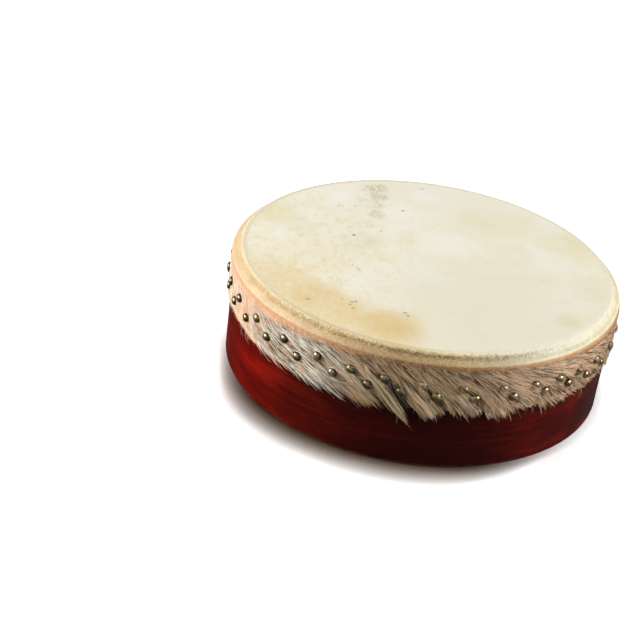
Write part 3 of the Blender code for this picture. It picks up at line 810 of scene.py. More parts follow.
def build_skin():
    deg = np.arange(SKIN_COLUMNS) / SKIN_COLUMNS * 360.0 - 180.0
    radius, z = skin_face(deg)
    # inner face: the outer one moved in along its profile's normal, kept clear of the shell
    run_r, run_z = np.gradient(radius, axis=1), np.gradient(z, axis=1)
    run = np.hypot(run_r, run_z)
    inner_r, inner_z = radius + run_z / run * SKIN_T, z - run_r / run * SKIN_T
    shell_gap_r = SHELL_R + 0.35
    inner_r = np.where((z < 127.5) & (inner_r < shell_gap_r), shell_gap_r, inner_r)
    inner_z[:, -1] = z[:, -1]

    turn = np.radians(deg)[:, None]
    outer, inner = (np.stack([r * np.cos(turn), r * np.sin(turn), h], -1).reshape(-1, 3)
                    for r, h in ((radius, z), (inner_r, inner_z)))
    center_z = HEAD_PROFILE[0][1]
    verts = np.concatenate([outer, inner, [[0, 0, center_z], [0, 0, center_z - SKIN_T]]]) * MM
    rows, half = radius.shape[1], radius.size
    c, after = ring_columns(SKIN_COLUMNS)
    cut_edge = np.stack([c * rows + rows - 1, after * rows + rows - 1,
                         half + after * rows + rows - 1, half + c * rows + rows - 1], -1)
    quads = np.concatenate([grid_faces(SKIN_COLUMNS, rows, flip=True),
                            grid_faces(SKIN_COLUMNS, rows, base=half), cut_edge])
    outer_center, inner_center = (np.full(SKIN_COLUMNS, 2 * half + i) for i in (0, 1))
    triangles = np.concatenate([
        np.stack([c * rows, after * rows, outer_center], -1),
        np.stack([half + after * rows, half + c * rows, inner_center], -1)])
    colors = np.ones((len(verts), 3))
    colors[:half] = paint_skin(deg[:, None], radius, z).reshape(-1, 3)
    colors[half:2 * half] = np.array(srgb(206, 182, 138))
    skin = add_mesh("goatskin_sheet", verts, [quads, triangles], SKIN_MAT, colors=colors)
    face_outward(skin)
    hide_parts("goatskin_head")
    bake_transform(skin)


build_skin()


# ---------------------------------------------------------------- lie of the coat
# round the drum: degrees, direction of the hair (degrees, 0 is anticlockwise round the rim,
# -90 down), length, density, top z
COAT_AT, COAT_FLOW, COAT_LENGTH, COAT_DENSITY, COAT_TOP = np.array((
    (-180, -62, 13, .40, 123), (-168, -66, 12, .42, 124), (-155, -58, 14, .46, 124),
    (-146, -40, 19, .55, 121.5), (-138, -24, 26, .74, 120.5), (-128, -14, 32, .92, 122.5),
    (-119, -15, 35, .98, 125.5), (-111, -24, 37, 1, 127), (-104, -38, 38, 1, 127.4),
    (-96, -46, 37, 1, 127.4), (-88, -48, 35, 1, 127.4), (-79, -42, 34, 1, 127.2),
    (-70, -36, 33, 1, 127), (-60, -30, 32, 1, 126.6), (-50, -25, 31, 1, 126),
    (-40, -22, 29, .98, 125.4), (-28, -32, 26, .95, 125), (-12, -46, 26, .92, 125),
    (15, -42, 30, .95, 126), (50, -34, 33, 1, 127), (95, -40, 31, .92, 126),
    (135, -50, 25, .65, 123), (162, -58, 16, .45, 122), (180, -62, 13, .40, 122)), float).T
# where the fringe ends: degrees, z
FRINGE_AT, FRINGE_Z = np.array((
    (-180, 81), (-168, 83), (-161, 83), (-156, 81), (-150, 78), (-145, 75), (-139, 72),
    (-133, 69), (-127, 65), (-119, 64), (-110, 61), (-104, 61), (-98, 66), (-95, 63), (-91, 66),
    (-88, 68), (-84, 68), (-80, 73), (-76, 69), (-71, 70), (-67, 62), (-64, 65), (-60, 72),
    (-55, 74), (-51, 64), (-48, 60), (-46, 66), (-43, 70), (-38, 73), (-33, 74), (-26, 73),
    (-10, 71), (20, 69), (60, 68), (100, 69), (140, 74), (165, 79), (180, 81)), float).T
flow_noise = ring_noise(31, 46, 22.0)
flow_noise_fine = ring_noise(32, 150, 8.0)
fringe_noise = ring_noise(33, 80)
fringe_noise_fine = ring_noise(34, 210)
tone_noise = ring_noise(35, 100, 12.0)
tone_noise_fine = ring_noise(36, 330, 5.0)

POINTS = 8                              # along each hair
STEP = np.linspace(0, 1, POINTS)
HAIR_Z0, HAIR_Z1 = 76.0, 130.0          # roots lie between these


def along_rim(values, deg):
    return np.interp(wrap180(deg), COAT_AT, values)


def flow(deg, z):
    """Direction of the hair in degrees."""
    wrapped = wrap180(deg)
    angle = along_rim(COAT_FLOW, deg) - 0.5 * np.clip(97.0 - z, 0, 40) * smooth(-116, -92, wrapped)
    # nearly level under the crease
    angle = angle + 0.42 * (z - 98.0) * smooth(-84, -66, wrapped) * smooth(0, -20, wrapped)
    return angle + 9.0 * flow_noise(deg, z) + 4.5 * flow_noise_fine(deg, z)


def fringe(deg):
    return (np.interp(wrap180(deg), FRINGE_AT, FRINGE_Z) + 1.5 * fringe_noise(deg, 0)
            + 1.6 * fringe_noise_fine(deg, 0))


def trace(root_deg, root_z, length, heading):
    """Walk from each root along heading(k, deg, z) degrees: (n, POINTS) angles and z."""
    deg, z = (np.repeat(root[:, None], POINTS, 1) for root in (root_deg, root_z))
    step = length / (POINTS - 1)
    for k in range(1, POINTS):
        angle = np.radians(heading(k, deg[:, k - 1], z[:, k - 1]))
        deg[:, k] = deg[:, k - 1] + np.degrees(step * np.cos(angle) / SKIRT_R)
        z[:, k] = z[:, k - 1] + step * np.sin(angle)
    return deg, z


def grow(root_deg, root_z, length, turn, curl):
    """Follow the lie of the coat from each root."""
    return trace(root_deg, root_z, length, lambda k, deg, z: flow(deg, z) + turn + curl * STEP[k])


def scramble(a, b, a_factor, b_factor, scale):
    """A repeatable value in -1..1 for the pair (a, b)."""
    return np.modf(np.sin(a * a_factor + b * b_factor) * scale)[0]


def cell_centers(deg, z, cell):
    """Nearest point of a jittered lattice, and a value of its own for that point."""
    rim = np.radians(deg) * SKIRT_R
    cell_i, cell_j = np.floor(rim / cell), np.floor(z / cell)
    best = np.full(len(deg), 1e9)
    center_rim, center_z = np.zeros(len(deg)), np.zeros(len(deg))
    for di in (-1, 0, 1):
        for dj in (-1, 0, 1):
            i, j = cell_i + di, cell_j + dj
            point_rim = (i + 0.5 + 0.45 * scramble(i, j, 127.1, 311.7, 43758.5453)) * cell
            point_z = (j + 0.5 + 0.45 * scramble(i, j, 269.5, 183.3, 24634.6345)) * cell
            distance = np.hypot(rim - point_rim, z - point_z)
            nearer = distance < best
            best = np.where(nearer, distance, best)
            center_rim = np.where(nearer, point_rim, center_rim)
            center_z = np.where(nearer, point_z, center_z)
    own = scramble(np.round(center_rim, 2), np.round(center_z, 2), 12.9898, 78.233, 43758.5453)
    return np.degrees(center_rim / SKIRT_R), center_z, own


def shorten(deg, z, fraction):
    """Keep the first fraction of each path."""
    rows = np.arange(len(deg))
    new_deg, new_z = np.empty_like(deg), np.empty_like(z)
    for k in range(POINTS):
        position = STEP[k] * fraction * (POINTS - 1)
        i = np.clip(position.astype(int), 0, POINTS - 2)
        part = position - i
        new_deg[:, k] = deg[rows, i] * (1 - part) + deg[rows, i + 1] * part
        new_z[:, k] = z[rows, i] * (1 - part) + z[rows, i + 1] * part
    return new_deg, new_z


def gather(rng, deg, z, center_path, pull_range, power):
    """Draw each hair towards its cell's path, more so at the tip."""
    center_deg, center_z = center_path
    pull = rng.uniform(*pull_range, len(deg))[:, None] * STEP[None, :] ** power
    return deg * (1 - pull) + center_deg * pull, z * (1 - pull) + center_z * pull


def trim_to_fringe(rng, deg, z, spread):
    """Cut the hairs off near the fringe; a few keep their full length."""
    n = len(deg)
    room = z[:, 0] - (fringe(deg[:, -1]) + rng.normal(0, spread, n))
    fraction = np.clip(room / np.maximum(z[:, 0] - z[:, -1], 1e-3), 0.2, 1.0)
    return shorten(deg, z, np.where(rng.random(n) < 0.015, 1.0, fraction))


def in_wake(deg, z):
    """Whether a nail head sits on the root, and whether one has parted the coat just above."""
    distance, rim, rise = tack_nearest(deg, z)
    angle = np.radians(flow(deg, z))
    down = rim * np.cos(angle) + rise * np.sin(angle)
    across = np.abs(-rim * np.sin(angle) + rise * np.cos(angle))
    wake = (down > 0) & (down < 13.0) & (across < 3.4 * (1.0 - down / 14.0))
    return distance < 5.5, wake


def part_round_tacks(rng, deg, z, lift, crossing=1.0):
    """The coat parts round the nail heads and closes slowly behind; a few hairs lie over."""
    n = len(deg)
    root = wrap180(deg[:, 0])
    over = rng.random(n) < crossing * (
        0.03 + 0.10 * smooth(-112, -96, root) * smooth(70, 30, root))
    carry_rim, carry_z = np.zeros(n), np.zeros(n)
    deg, z, lift = deg.copy(), z.copy(), lift.copy()
    for k in range(1, POINTS):
        distance, rim, rise = tack_nearest(deg[:, k] + np.degrees(carry_rim / SKIRT_R),
                                           z[:, k] + carry_z)
        push = np.clip(6.3 - distance, 0, None) * np.where(over, 0.1, 1.0)
        inverse = 1.0 / np.maximum(distance, 0.5)
        carry_rim = 0.86 * carry_rim + push * rim * inverse
        carry_z = 0.86 * carry_z + push * rise * inverse
        deg[:, k] += np.degrees(carry_rim / SKIRT_R)
        z[:, k] += carry_z
        near = smooth(9.5, 5.0, distance)
        lift[:, k] = np.where(over, lift[:, k] + 4.3 * smooth(6.6, 3.4, distance),
                              lift[:, k] * (1.0 - 0.72 * near))
    return deg, z, lift


WHITE, GREY, TAN, PINK, BEIGE, BROWN, DARK, CREAM, FLESH = (np.array(srgb(*tone)) for tone in (
    (255, 247, 231), (212, 190, 168), (250, 220, 170), (246, 210, 176), (230, 195, 156),
    (118, 85, 58), (28, 19, 13), (255, 233, 192), (242, 208, 178)))


def bareness(deg, start=-142, end=-153):
    """1 on the nearly bare stretch at the left; start and end are where its front side fades."""
    return smooth(start, end, wrap180(deg)) + smooth(150, 165, wrap180(deg))


def coat_tones(rng, deg, z, own, shift):
    """Hair colours: whitish on the left, tan in front, pinkish beige on the right."""
    n = len(deg)
    wrapped = wrap180(deg)
    bare = bareness(deg, -137, -149)
    left = smooth(-108, -122, wrapped)
    front = np.exp(-((wrapped + 94) / 16.0) ** 2)
    pick = rng.random(n)[:, None]
    base = np.where(pick < 0.50, PINK, np.where(pick < 0.86, BEIGE, GREY))
    base = blend_color(base, np.where(pick < 0.6, TAN, BEIGE), front * 0.8)
    base = blend_color(base, np.where(pick < 0.72, WHITE, np.where(pick < 0.88, FLESH, GREY)),
                       left * 0.95)
    base = blend_color(base, np.where(pick < 0.45, WHITE, FLESH), bare * 0.95)
    depth = (0.46 + 0.12 * tone_noise(deg, z) + 0.08 * tone_noise_fine(deg, z) + 0.08 * own
             + rng.normal(0, 0.33, n) + shift * (1 - 0.9 * bare) - 0.06 * left)
    base = blend_color(base, BROWN, smooth(0.50, 0.72, depth) * (0.9 - 0.8 * bare))
    return blend_color(base, DARK, smooth(0.72, 1.00, depth) * (0.92 - 0.9 * bare))


# ---------------------------------------------------------------- hair meshes
def surface_radius(deg, z):
    """Radius the hair lies on: the skin, then the air just off the shell under its edge."""
    bottom = skirt_bottom(deg)
    wave, fine_wave = waves(deg, z)
    on_skin = SKIRT_FACE_R + wave + fine_wave
    below = 231.7 - 1.5 * smooth(0.0, 18.0, np.clip(bottom - z, 0, None))
    return np.where(z >= bottom, on_skin, below)


def unit(vectors):
    return vectors / np.maximum(np.linalg.norm(vectors, axis=-1, keepdims=True), 1e-9)


def hair_mesh(name, deg, z, lift, width, color, root_shade, material=HAIR_MAT):
    """Closed three-sided tapering prisms, one per hair, with painted shade at the root and a little
    painted light at the tip.
    """
    n = len(deg)
    radius = surface_radius(deg, z) + lift
    radius[:, 0] = surface_radius(deg[:, 0], z[:, 0]) - 0.35
    turn = np.radians(deg)
    points = np.stack([radius * np.cos(turn), radius * np.sin(turn), z], -1)
    tangent = unit(np.gradient(points, axis=1))
    out = np.stack([np.cos(turn), np.sin(turn), np.zeros_like(turn)], -1)
    side = unit(np.cross(tangent, out))
    normal = np.cross(side, tangent)
    taper = np.minimum(1.0, 0.45 + 2.2 * STEP) * (1.0 - 0.85 * STEP ** 2.2)
    half = (width[:, None] * taper[None, :])[:, :-1, None]
    corners = []
    for k in range(3):
        angle = math.tau * k / 3 + math.pi / 2
        corners.append(points[:, :-1] + half * (math.cos(angle) * side[:, :-1]
                                                + 0.75 * math.sin(angle) * normal[:, :-1]))
    prism = np.stack(corners, 2).reshape(n, (POINTS - 1) * 3, 3)     # point-major, side-minor
    verts = np.concatenate([prism, points[:, -1:, :]], 1)
    per_hair = verts.shape[1]
    triangles = []
    for p in range(POINTS - 2):
        for k in range(3):
            low, low_next = p * 3 + k, p * 3 + (k + 1) % 3
            high, high_next = low + 3, low_next + 3
            triangles += [(low, low_next, high_next), (low, high_next, high)]
    last, tip = (POINTS - 2) * 3, per_hair - 1
    triangles += [(last, last + 1, tip), (last + 1, last + 2, tip), (last + 2, last, tip),
                  (0, 2, 1)]
    faces = (np.array(triangles)[None] + (np.arange(n) * per_hair)[:, None, None]).reshape(-1, 3)
    # painted shade at the root, where the hairs above shadow it, and painted light at the tip, which
    # lies on top
    tip_shade = 1.12
    root_shade = np.broadcast_to(root_shade, (n,))[:, None]
    shade = root_shade + (tip_shade - root_shade) * smooth(0.0, 0.55, STEP)[None, :]
    shade = np.concatenate([np.repeat(shade[:, :-1], 3, axis=1), np.full((n, 1), tip_shade)], 1)
    colors = (color[:, None, :] * shade[:, :, None]).reshape(-1, 3)
    ob = add_mesh(name, verts.reshape(-1, 3) * MM, [faces], material,
                  colors=np.clip(colors, 0, 1))
    register(ob, "shell")


def scatter_roots(rng, region, count, low, wake_cut, at_crease=False):
    """Roots by density, clear of the tacks; at_crease puts them all along the coat's top."""
    deg = rng.uniform(region[0], region[1], count)
    z = HAIR_Z0 + low + (HAIR_Z1 - HAIR_Z0 - low) * rng.random(count)
    top = along_rim(COAT_TOP, deg) + 1.2 * fringe_noise(deg + 33, 0)
    if at_crease:
        z = top + rng.uniform(-2.5, 1.8, count)
        top = top + 3.0
    keep = ((rng.random(count) < along_rim(COAT_DENSITY, deg))
            & (z < top - rng.random(count) * 1.5))
    blocked, wake = in_wake(deg, z)
    keep &= ~blocked & ~(wake & (rng.random(count) < wake_cut))
    return deg[keep], z[keep]


def raise_from_skin(top_lift):
    return 0.12 + top_lift[:, None] * STEP[None, :] ** 0.85


def coat(rng, region, count, length_scale, lift_range, half_width, shift, spread, low=0.0,
         pull_range=(0.3, 0.85), root_shade=0.55, at_crease=False):
    """One layer of single hairs, drawn together in cells; a higher shift is darker."""
    root_deg, root_z = scatter_roots(rng, region, count, low, 0.85, at_crease)
    n = len(root_deg)
    center_deg, center_z, own = cell_centers(root_deg, root_z, 8.0)
    length = (along_rim(COAT_LENGTH, root_deg) * length_scale * rng.uniform(0.7, 1.12, n)
              * (1.0 + 0.18 * own))
    deg, z = grow(root_deg, root_z, length, rng.normal(0, 4.5, n), rng.normal(0, 9.0, n))
    center_path = grow(center_deg, center_z, length, 14.0 * own, 10.0 * own)
    deg, z = gather(rng, deg, z, center_path, pull_range, 1.15)
    deg, z = trim_to_fringe(rng, deg, z, spread)
    gap = in_gap(deg[:, 3:], z[:, 3:]).any(axis=1)
    kept = ~(gap & (rng.random(n) < 0.6))
    deg, z, own, root_deg, root_z, gap = (a[kept] for a in (deg, z, own, root_deg, root_z, gap))
    n = len(deg)
    # painted shade: hairs left in the partings are coloured nearly black
    color = (coat_tones(rng, root_deg, root_z, own, shift)
             * np.where(gap, 0.08, 1.0)[:, None])
    bare = bareness(root_deg)
    top_lift = (rng.uniform(*lift_range, n) * (1.0 + 0.45 * own) * np.where(gap, 0.3, 1.0)
                * (1.0 - 0.5 * bare))
    width = half_width * rng.uniform(0.7, 1.35, n) * (1.0 - 0.62 * bare)
    shade = np.full(n, root_shade) + (0.9 - root_shade) * bare
    deg, z, lift = part_round_tacks(rng, deg, z, raise_from_skin(top_lift))
    return deg, z, lift, width, color, shade


def bundle(rng, deg, z, lift, color, hairs, spread, half_width, ends=0.10, hump=0.35, vary=0.15):
    """Fill each centre line out into fine hairs; spread is mm at root, middle and tip."""
    line = np.repeat(np.arange(len(deg)), hairs)
    m = len(line)
    deg, z, lift = deg[line], z[line], lift[line]
    run_rim, run_z = np.gradient(np.radians(deg) * SKIRT_R, axis=1), np.gradient(z, axis=1)
    run = np.maximum(np.hypot(run_rim, run_z), 1e-6)
    across = np.clip(rng.normal(0, 1, m), -2, 2)[:, None]
    drift = rng.normal(0, 0.45, m)[:, None] * STEP[None, :] ** 1.5
    offset = np.interp(STEP, (0, 0.5, 1), spread)[None, :] * (across + drift)
    deg = deg - np.degrees(run_z / run * offset / SKIRT_R)
    z = z + run_rim / run * offset
    rise = hump * (1.0 - 0.5 * across ** 2) + rng.normal(0, 0.10, m)[:, None]
    lift = np.maximum(lift + rise * STEP[None, :] ** 0.6, 0.08)
    deg, z = shorten(deg, z, np.clip(1.0 - np.abs(rng.normal(0, ends, m)), 0.5, 1.0))
    color = np.clip(color[line] * rng.uniform(1.0 - vary, 1.0 + vary, m)[:, None], 0, 1)
    return deg, z, lift, half_width * rng.uniform(0.75, 1.3, m), color


def locks(rng, region, count, hairs, length_scale, lift_range, shift, low, trim_spread,
          lock_spread, root_shade):
    """One layer of separate narrow locks, each of one tone."""
    root_deg, root_z = scatter_roots(rng, region, count, low, 0.8)
    n = len(root_deg)
    rng.uniform(-1, 1, n)           # not used, but it keeps the draws after it in place
    length = along_rim(COAT_LENGTH, root_deg) * length_scale * rng.uniform(0.7, 1.15, n)
    deg, z = grow(root_deg, root_z, length, rng.normal(0, 5.0, n), rng.normal(0, 8.0, n))
    center_deg, center_z, own = cell_centers(root_deg, root_z, 7.0)
    center_path = grow(center_deg, center_z, length, 10.0 * own, 8.0 * own)
    deg, z = gather(rng, deg, z, center_path, (0.0, 0.35), 1.3)
    deg, z = trim_to_fringe(rng, deg, z, trim_spread)
    gap = in_gap(deg[:, 3:-1], z[:, 3:-1]).any(axis=1)
    kept = ~(gap & (rng.random(n) < 0.97))
    deg, z, root_deg, root_z, own = (a[kept] for a in (deg, z, root_deg, root_z, own))
    color = coat_tones(rng, root_deg, root_z, own, shift)
    bare = bareness(root_deg)
    lift = raise_from_skin(rng.uniform(*lift_range, len(deg)) * (1.0 - 0.6 * bare))
    thinning = np.repeat(1.0 - 0.55 * bare, hairs)
    shade = np.repeat(root_shade + (0.92 - root_shade) * bare, hairs)
    deg, z, lift, width, color = bundle(rng, deg, z, lift, color, hairs, lock_spread,
                                        half_width=0.17)
    deg, z, lift = part_round_tacks(rng, deg, z, lift)
    return deg, z, lift, width * thinning, color, shade


def join_parts(parts):
    """Field by field, one array from all the parts."""
    return [np.concatenate(field) for field in zip(*parts)]


def build_coat():
    sectors = 14
    for s in range(sectors):
        rng = np.random.default_rng(100 + s)
        region = (-180.0 + s * 360.0 / sectors, -180.0 + (s + 1) * 360.0 / sectors)
        layers = [
            # the lowest layer is dark: partly dark underfur, partly painted shade under the layers
            # above
            coat(rng, region, count=900, length_scale=0.60, lift_range=(0.05, 0.3),
                 half_width=0.32, shift=0.46, low=1.0, spread=2.4),
            locks(rng, region, count=330, hairs=5, length_scale=0.90, lift_range=(0.25, 0.8),
                  shift=0.04, low=0.5, trim_spread=2.0, lock_spread=(0.36, 0.30, 0.20),
                  root_shade=0.5),
            locks(rng, region, count=200, hairs=6, length_scale=1.05, lift_range=(0.9, 1.9),
                  shift=-0.40, low=2.0, trim_spread=2.4, lock_spread=(0.30, 0.25, 0.15),
                  root_shade=0.75),
            coat(rng, region, count=190, length_scale=1.10, lift_range=(1.1, 2.3),
                 half_width=0.14, shift=-0.36, low=2.0, spread=3.0, pull_range=(0.0, 0.15),
                 root_shade=0.9),
            coat(rng, region, count=130, length_scale=1.00, lift_range=(1.2, 2.2),
                 half_width=0.14, shift=0.50, low=3.0, spread=2.4, pull_range=(0.0, 0.15),
                 root_shade=0.9),
            # short fuzz along the crease
            coat(rng, region, count=220, length_scale=0.35, lift_range=(0.3, 1.4),
                 half_width=0.13, shift=-0.10, spread=2.0, at_crease=True)]
        hair_mesh(f"skirt_hair_{s + 1:02d}", *join_parts(layers))


build_coat()


# ---------------------------------------------------------------- tufts and stray hairs
def sample(values, t):
    return np.interp(t.ravel(), STEP, values).reshape(t.shape)


def arch(t):
    return np.sin(np.pi * np.clip(0.10 + 0.75 * t, 0, 1)) ** 0.8


def tuft(rng, path, locks_across, hairs, half_widths, lift_top, light, taper=0.10):
    """A row of narrow locks, light and dark side by side, along (degrees, z) from root to tip.

    half_widths are at root, middle and tip; light is the share of light locks."""
    path = np.array(path, float)
    stations = np.linspace(0, 1, len(path))
    line_deg = np.interp(STEP, stations, path[:, 0])
    line_z = np.interp(STEP, stations, path[:, 1])
    wide = np.interp(STEP, (0, 0.5, 1), half_widths)
    run_rim, run_z = np.gradient(np.radians(line_deg) * SKIRT_R), np.gradient(line_z)
    run = np.hypot(run_rim, run_z)
    normal_rim, normal_z = -run_z / run, run_rim / run
    n = locks_across * 3                        # three staggered rows, the upper ones shorter
    across = (np.concatenate([np.linspace(-1.1, 1.1, locks_across)] * 3)
              + rng.normal(0, 0.9 / locks_across, n))
    upper = np.arange(n) // locks_across
    start = rng.uniform(0.0, 0.20, n) + upper * rng.uniform(0.06, 0.16, n)
    end = np.clip(1.03 - np.abs(rng.normal(0, 0.075, n)) - taper * across ** 2 - 0.03 * upper,
                  0.6, 1.06)
    sway = (rng.normal(0, 0.55, n)[:, None]
            * np.sin(np.pi * STEP[None, :] * rng.uniform(0.7, 1.6, n)[:, None]))
    t = start[:, None] + (end - start)[:, None] * STEP[None, :]
    offset = across[:, None] * sample(wide, t) + sway
    deg = sample(line_deg, t) + np.degrees(offset * sample(normal_rim, t) / SKIRT_R)
    z = sample(line_z, t) + offset * sample(normal_z, t)
    pick = rng.random(n)
    dark = pick > light + 0.08 * (upper - 1)
    hump = (np.clip(1.0 - (across / 1.3) ** 2, 0.1, 1) * np.where(dark, 0.86, 1.0)
            * (0.7 + 0.15 * upper))
    top = lift_top * hump * rng.uniform(0.75, 1.1, n)
    lift = 0.2 + top[:, None] * arch(STEP)[None, :]
    color = np.where((pick < light * 0.55)[:, None], CREAM, PINK)
    color = np.where(dark[:, None], np.where(rng.random(n)[:, None] < 0.5, BROWN, DARK), color)
    color = color * rng.uniform(0.80, 1.12, n)[:, None]
    lock_width = float(wide.max()) * 0.70 / locks_across
    spread = (lock_width * 0.8, lock_width * 0.7, lock_width * 0.8)
    body = bundle(rng, deg, z, lift, color, hairs, spread, half_width=0.14, hump=0.1, vary=0.22)

    # loose, mostly pale hairs over the tuft that fray past its tip
    m = locks_across * 2
    across = rng.uniform(-1.15, 1.15, m)
    start = rng.uniform(0.1, 0.7, m)
    end = rng.uniform(0.93, 1.10, m) - taper * across ** 2
    stray = (rng.normal(0, 1.0, m)[:, None] * STEP[None, :] ** 1.5
             + rng.normal(0, 0.4, m)[:, None] * np.sin(np.pi * STEP))
    t = start[:, None] + (end - start)[:, None] * STEP[None, :]
    past = np.maximum(t - 1.0, 0.0)
    last_step = STEP[-1] - STEP[-2]
    line_deg_at, line_z_at = (sample(v, t) + past * (v[-1] - v[-2]) / last_step
                              for v in (line_deg, line_z))
    offset = across[:, None] * sample(wide, t) + stray
    deg = line_deg_at + np.degrees(offset * sample(normal_rim, t) / SKIRT_R)
    z = line_z_at + offset * sample(normal_z, t)
    hump = np.clip(1.0 - (across / 1.3) ** 2, 0.1, 1)
    lift = 0.5 + (lift_top * 1.12 * hump)[:, None] * arch(t)
    color = (np.where((rng.random(m) < 0.6)[:, None], CREAM, PINK)
             * rng.uniform(0.80, 1.0, m)[:, None])
    color = np.where((rng.random(m) < 0.40)[:, None], DARK * 1.3, color)
    loose = bundle(rng, deg, z, lift, color, hairs=3, spread=(0.06, 0.09, 0.5), half_width=0.11,
                   ends=0.14, hump=0.15)
    return join_parts((body, loose))


# the heavy tufts in front: path, locks across, hairs, half widths, lift, light share, taper
BIG_TUFTS = (
    (((-107.6, 114), (-104.2, 105.5), (-100.7, 95), (-97.4, 79), (-94.3, 64), (-91.4, 50)),
     12, 12, (4.6, 6.4, 2.4), 4.6, 0.66, 0.12),
    (((-98.0, 116), (-93.6, 99), (-90.6, 85), (-88.2, 73.5), (-86.0, 62)),
     14, 12, (3.8, 6.2, 8.4), 5.2, 0.66, 0.03),
    (((-114.0, 111), (-107.6, 94.5), (-104.0, 84), (-100.6, 72)),
     10, 10, (4.4, 5.8, 4.0), 2.4, 0.60, 0.10),
    (((-84.5, 108), (-80.5, 95), (-76.6, 80), (-73.8, 66)),
     9, 9, (3.0, 4.8, 4.4), 1.9, 0.55, 0.10))


def small_tuft(rng, deg):
    """A tuft that ends at the fringe and leans with the coat."""
    end_z = float(fringe(deg)) - rng.uniform(0.0, 4.5)
    run = rng.uniform(22, 34)
    lean = np.radians(float(flow(deg, 88.0)) - rng.uniform(0, 12))
    path = []
    for back in (1.0, 0.66, 0.33, 0.0):
        bow = rng.uniform(-0.8, 0.8)
        path.append((deg - np.degrees(back * run * math.cos(lean) / SKIRT_R),
                     end_z - back * run * math.sin(lean) + bow))
    width = rng.uniform(1.6, 3.2)
    return tuft(rng, path, locks_across=int(rng.integers(4, 6)), hairs=8,
                half_widths=(width, width, width * 0.9), lift_top=rng.uniform(0.8, 1.7),
                light=rng.uniform(0.5, 0.75))


def build_tufts():
    rng = np.random.default_rng(301)
    tufts = [tuft(rng, *row) for row in BIG_TUFTS]
    n_big = sum(len(part[0]) for part in tufts)
    for deg in np.arange(-78, 160, 6.3):
        deg = deg + rng.uniform(-2.2, 2.2)
        if deg < -76 or rng.random() > along_rim(COAT_DENSITY, deg):
            continue
        tufts.append(small_tuft(rng, deg))
    deg, z, lift, width, color = join_parts(tufts)
    deg, z, lift = part_round_tacks(rng, deg, z, lift, crossing=0.15)
    for name, part in (("fringe_tufts_big", slice(0, n_big)),
                       ("fringe_tufts_small", slice(n_big, None))):
        hair_mesh(name, deg[part], z[part], lift[part], width[part], color[part],
                  root_shade=0.75, material=TUFT_MAT)


# stray hairs given one by one: degrees, z, length, heading; and the ranges of the random ones
PLACED_STRAYS = np.array(((-94.8, 74, 24, -108), (-51.5, 80, 26, -52), (-126, 80, 18, -70),
                          (-151, 80, 14, -80), (-71, 76, 16, -60)), float)
STRAY_RANGES = ((-180, 180), (78, 92), (14, 26), (-95, -35))


def build_strays():
    rng = np.random.default_rng(77)
    # long ones over the shell
    root_deg, root_z, length, lean = (
        np.concatenate([placed, rng.uniform(low, high, 34)])
        for placed, (low, high) in zip(PLACED_STRAYS.T, STRAY_RANGES))
    n = len(root_deg)
    bow = rng.uniform(-26, 26, n)
    hanging = trace(root_deg, root_z, length, lambda k, deg, z: lean + bow * STEP[k])
    hanging_lift = 0.8 + 2.6 * np.sin(np.pi * STEP)[None, :] * rng.uniform(0.3, 1.0, (n, 1))
    # short ones that spring out over the crease and bend down
    m = 46
    root_deg, root_z = rng.uniform(-135, 150, m), rng.uniform(119, 124, m)
    heading = np.where(rng.random(m) < 0.6, rng.uniform(8, 32, m), rng.uniform(150, 172, m))
    length = rng.uniform(5, 13, m)
    bend = np.sign(np.cos(np.radians(heading)))
    springing = trace(root_deg, root_z, length,
                      lambda k, deg, z: heading - 30 * STEP[k] * bend)
    springing_lift = 0.4 + 2.4 * STEP[None, :] * rng.uniform(0.4, 1.0, (m, 1))
    deg, z, lift = join_parts(((*hanging, hanging_lift), (*springing, springing_lift)))
    tone = np.where(rng.random(n + m)[:, None] < 0.7, TAN, WHITE)
    hair_mesh("stray_hairs", deg, z, lift, np.full(n + m, 0.14), tone, root_shade=0.8)


build_tufts()
build_strays()


# ---------------------------------------------------------------- tacks
TACK_R, TACK_H = 5.35, 3.70
TACK_UNDER = 0.30               # height of the dome's foot and of the hollow's middle
TACK_SEAT_R = 231.3
TACK_COLUMNS = 28
# (radius, height) from the crown over the dome and rolled edge to the underside
TACK_PROFILE = np.array(
    [(TACK_R * math.sin(q), TACK_UNDER + TACK_H * math.cos(q) ** 0.92)
     for q in (i / 8 * math.pi / 2 for i in range(9))]
    + [(TACK_R, 0.02), (5.10, -0.16), (4.6, 0.10), (0.9, TACK_UNDER)])


def tack_verts(rng, deg, z):
    """One slightly dented, tilted dome set on the skirt."""
    turn = np.arange(TACK_COLUMNS) / TACK_COLUMNS * math.tau
    tilt = (Matrix.Rotation(math.radians(rng.normal(0, 2.6)), 3, "X")
            @ Matrix.Rotation(math.radians(rng.normal(0, 2.6)), 3, "Y"))
    sink = rng.normal(0, 0.08)
    dent = rng.normal(0, 0.035, (3,))
    rings = []
    for radius, height in TACK_PROFILE[1:]:
        dented = radius * (1 + 0.012 * np.cos(2 * turn + dent[0] * 60)
                           + dent[1] * 0.3 * np.cos(3 * turn))
        lean = dent[2] * np.cos(turn + 1.0) * (height > 0.5)
        rings.append(np.stack([dented * np.cos(turn), dented * np.sin(turn),
                               np.full(TACK_COLUMNS, height) + lean], -1))
    centers = [[0, 0, TACK_PROFILE[0][1]], [0, 0, TACK_UNDER]]
    local = np.concatenate([np.stack(rings, 1).reshape(-1, 3), centers]) @ np.array(tilt).T
    angle = math.radians(deg)
    out = np.array([math.cos(angle), math.sin(angle), 0.0])
    up = np.array([0.0, 0.0, 1.0])
    return (out * (TACK_SEAT_R + sink) + np.array([0, 0, z]) + local[:, :1] * np.cross(up, out)
            + local[:, 1:2] * up + local[:, 2:] * out)


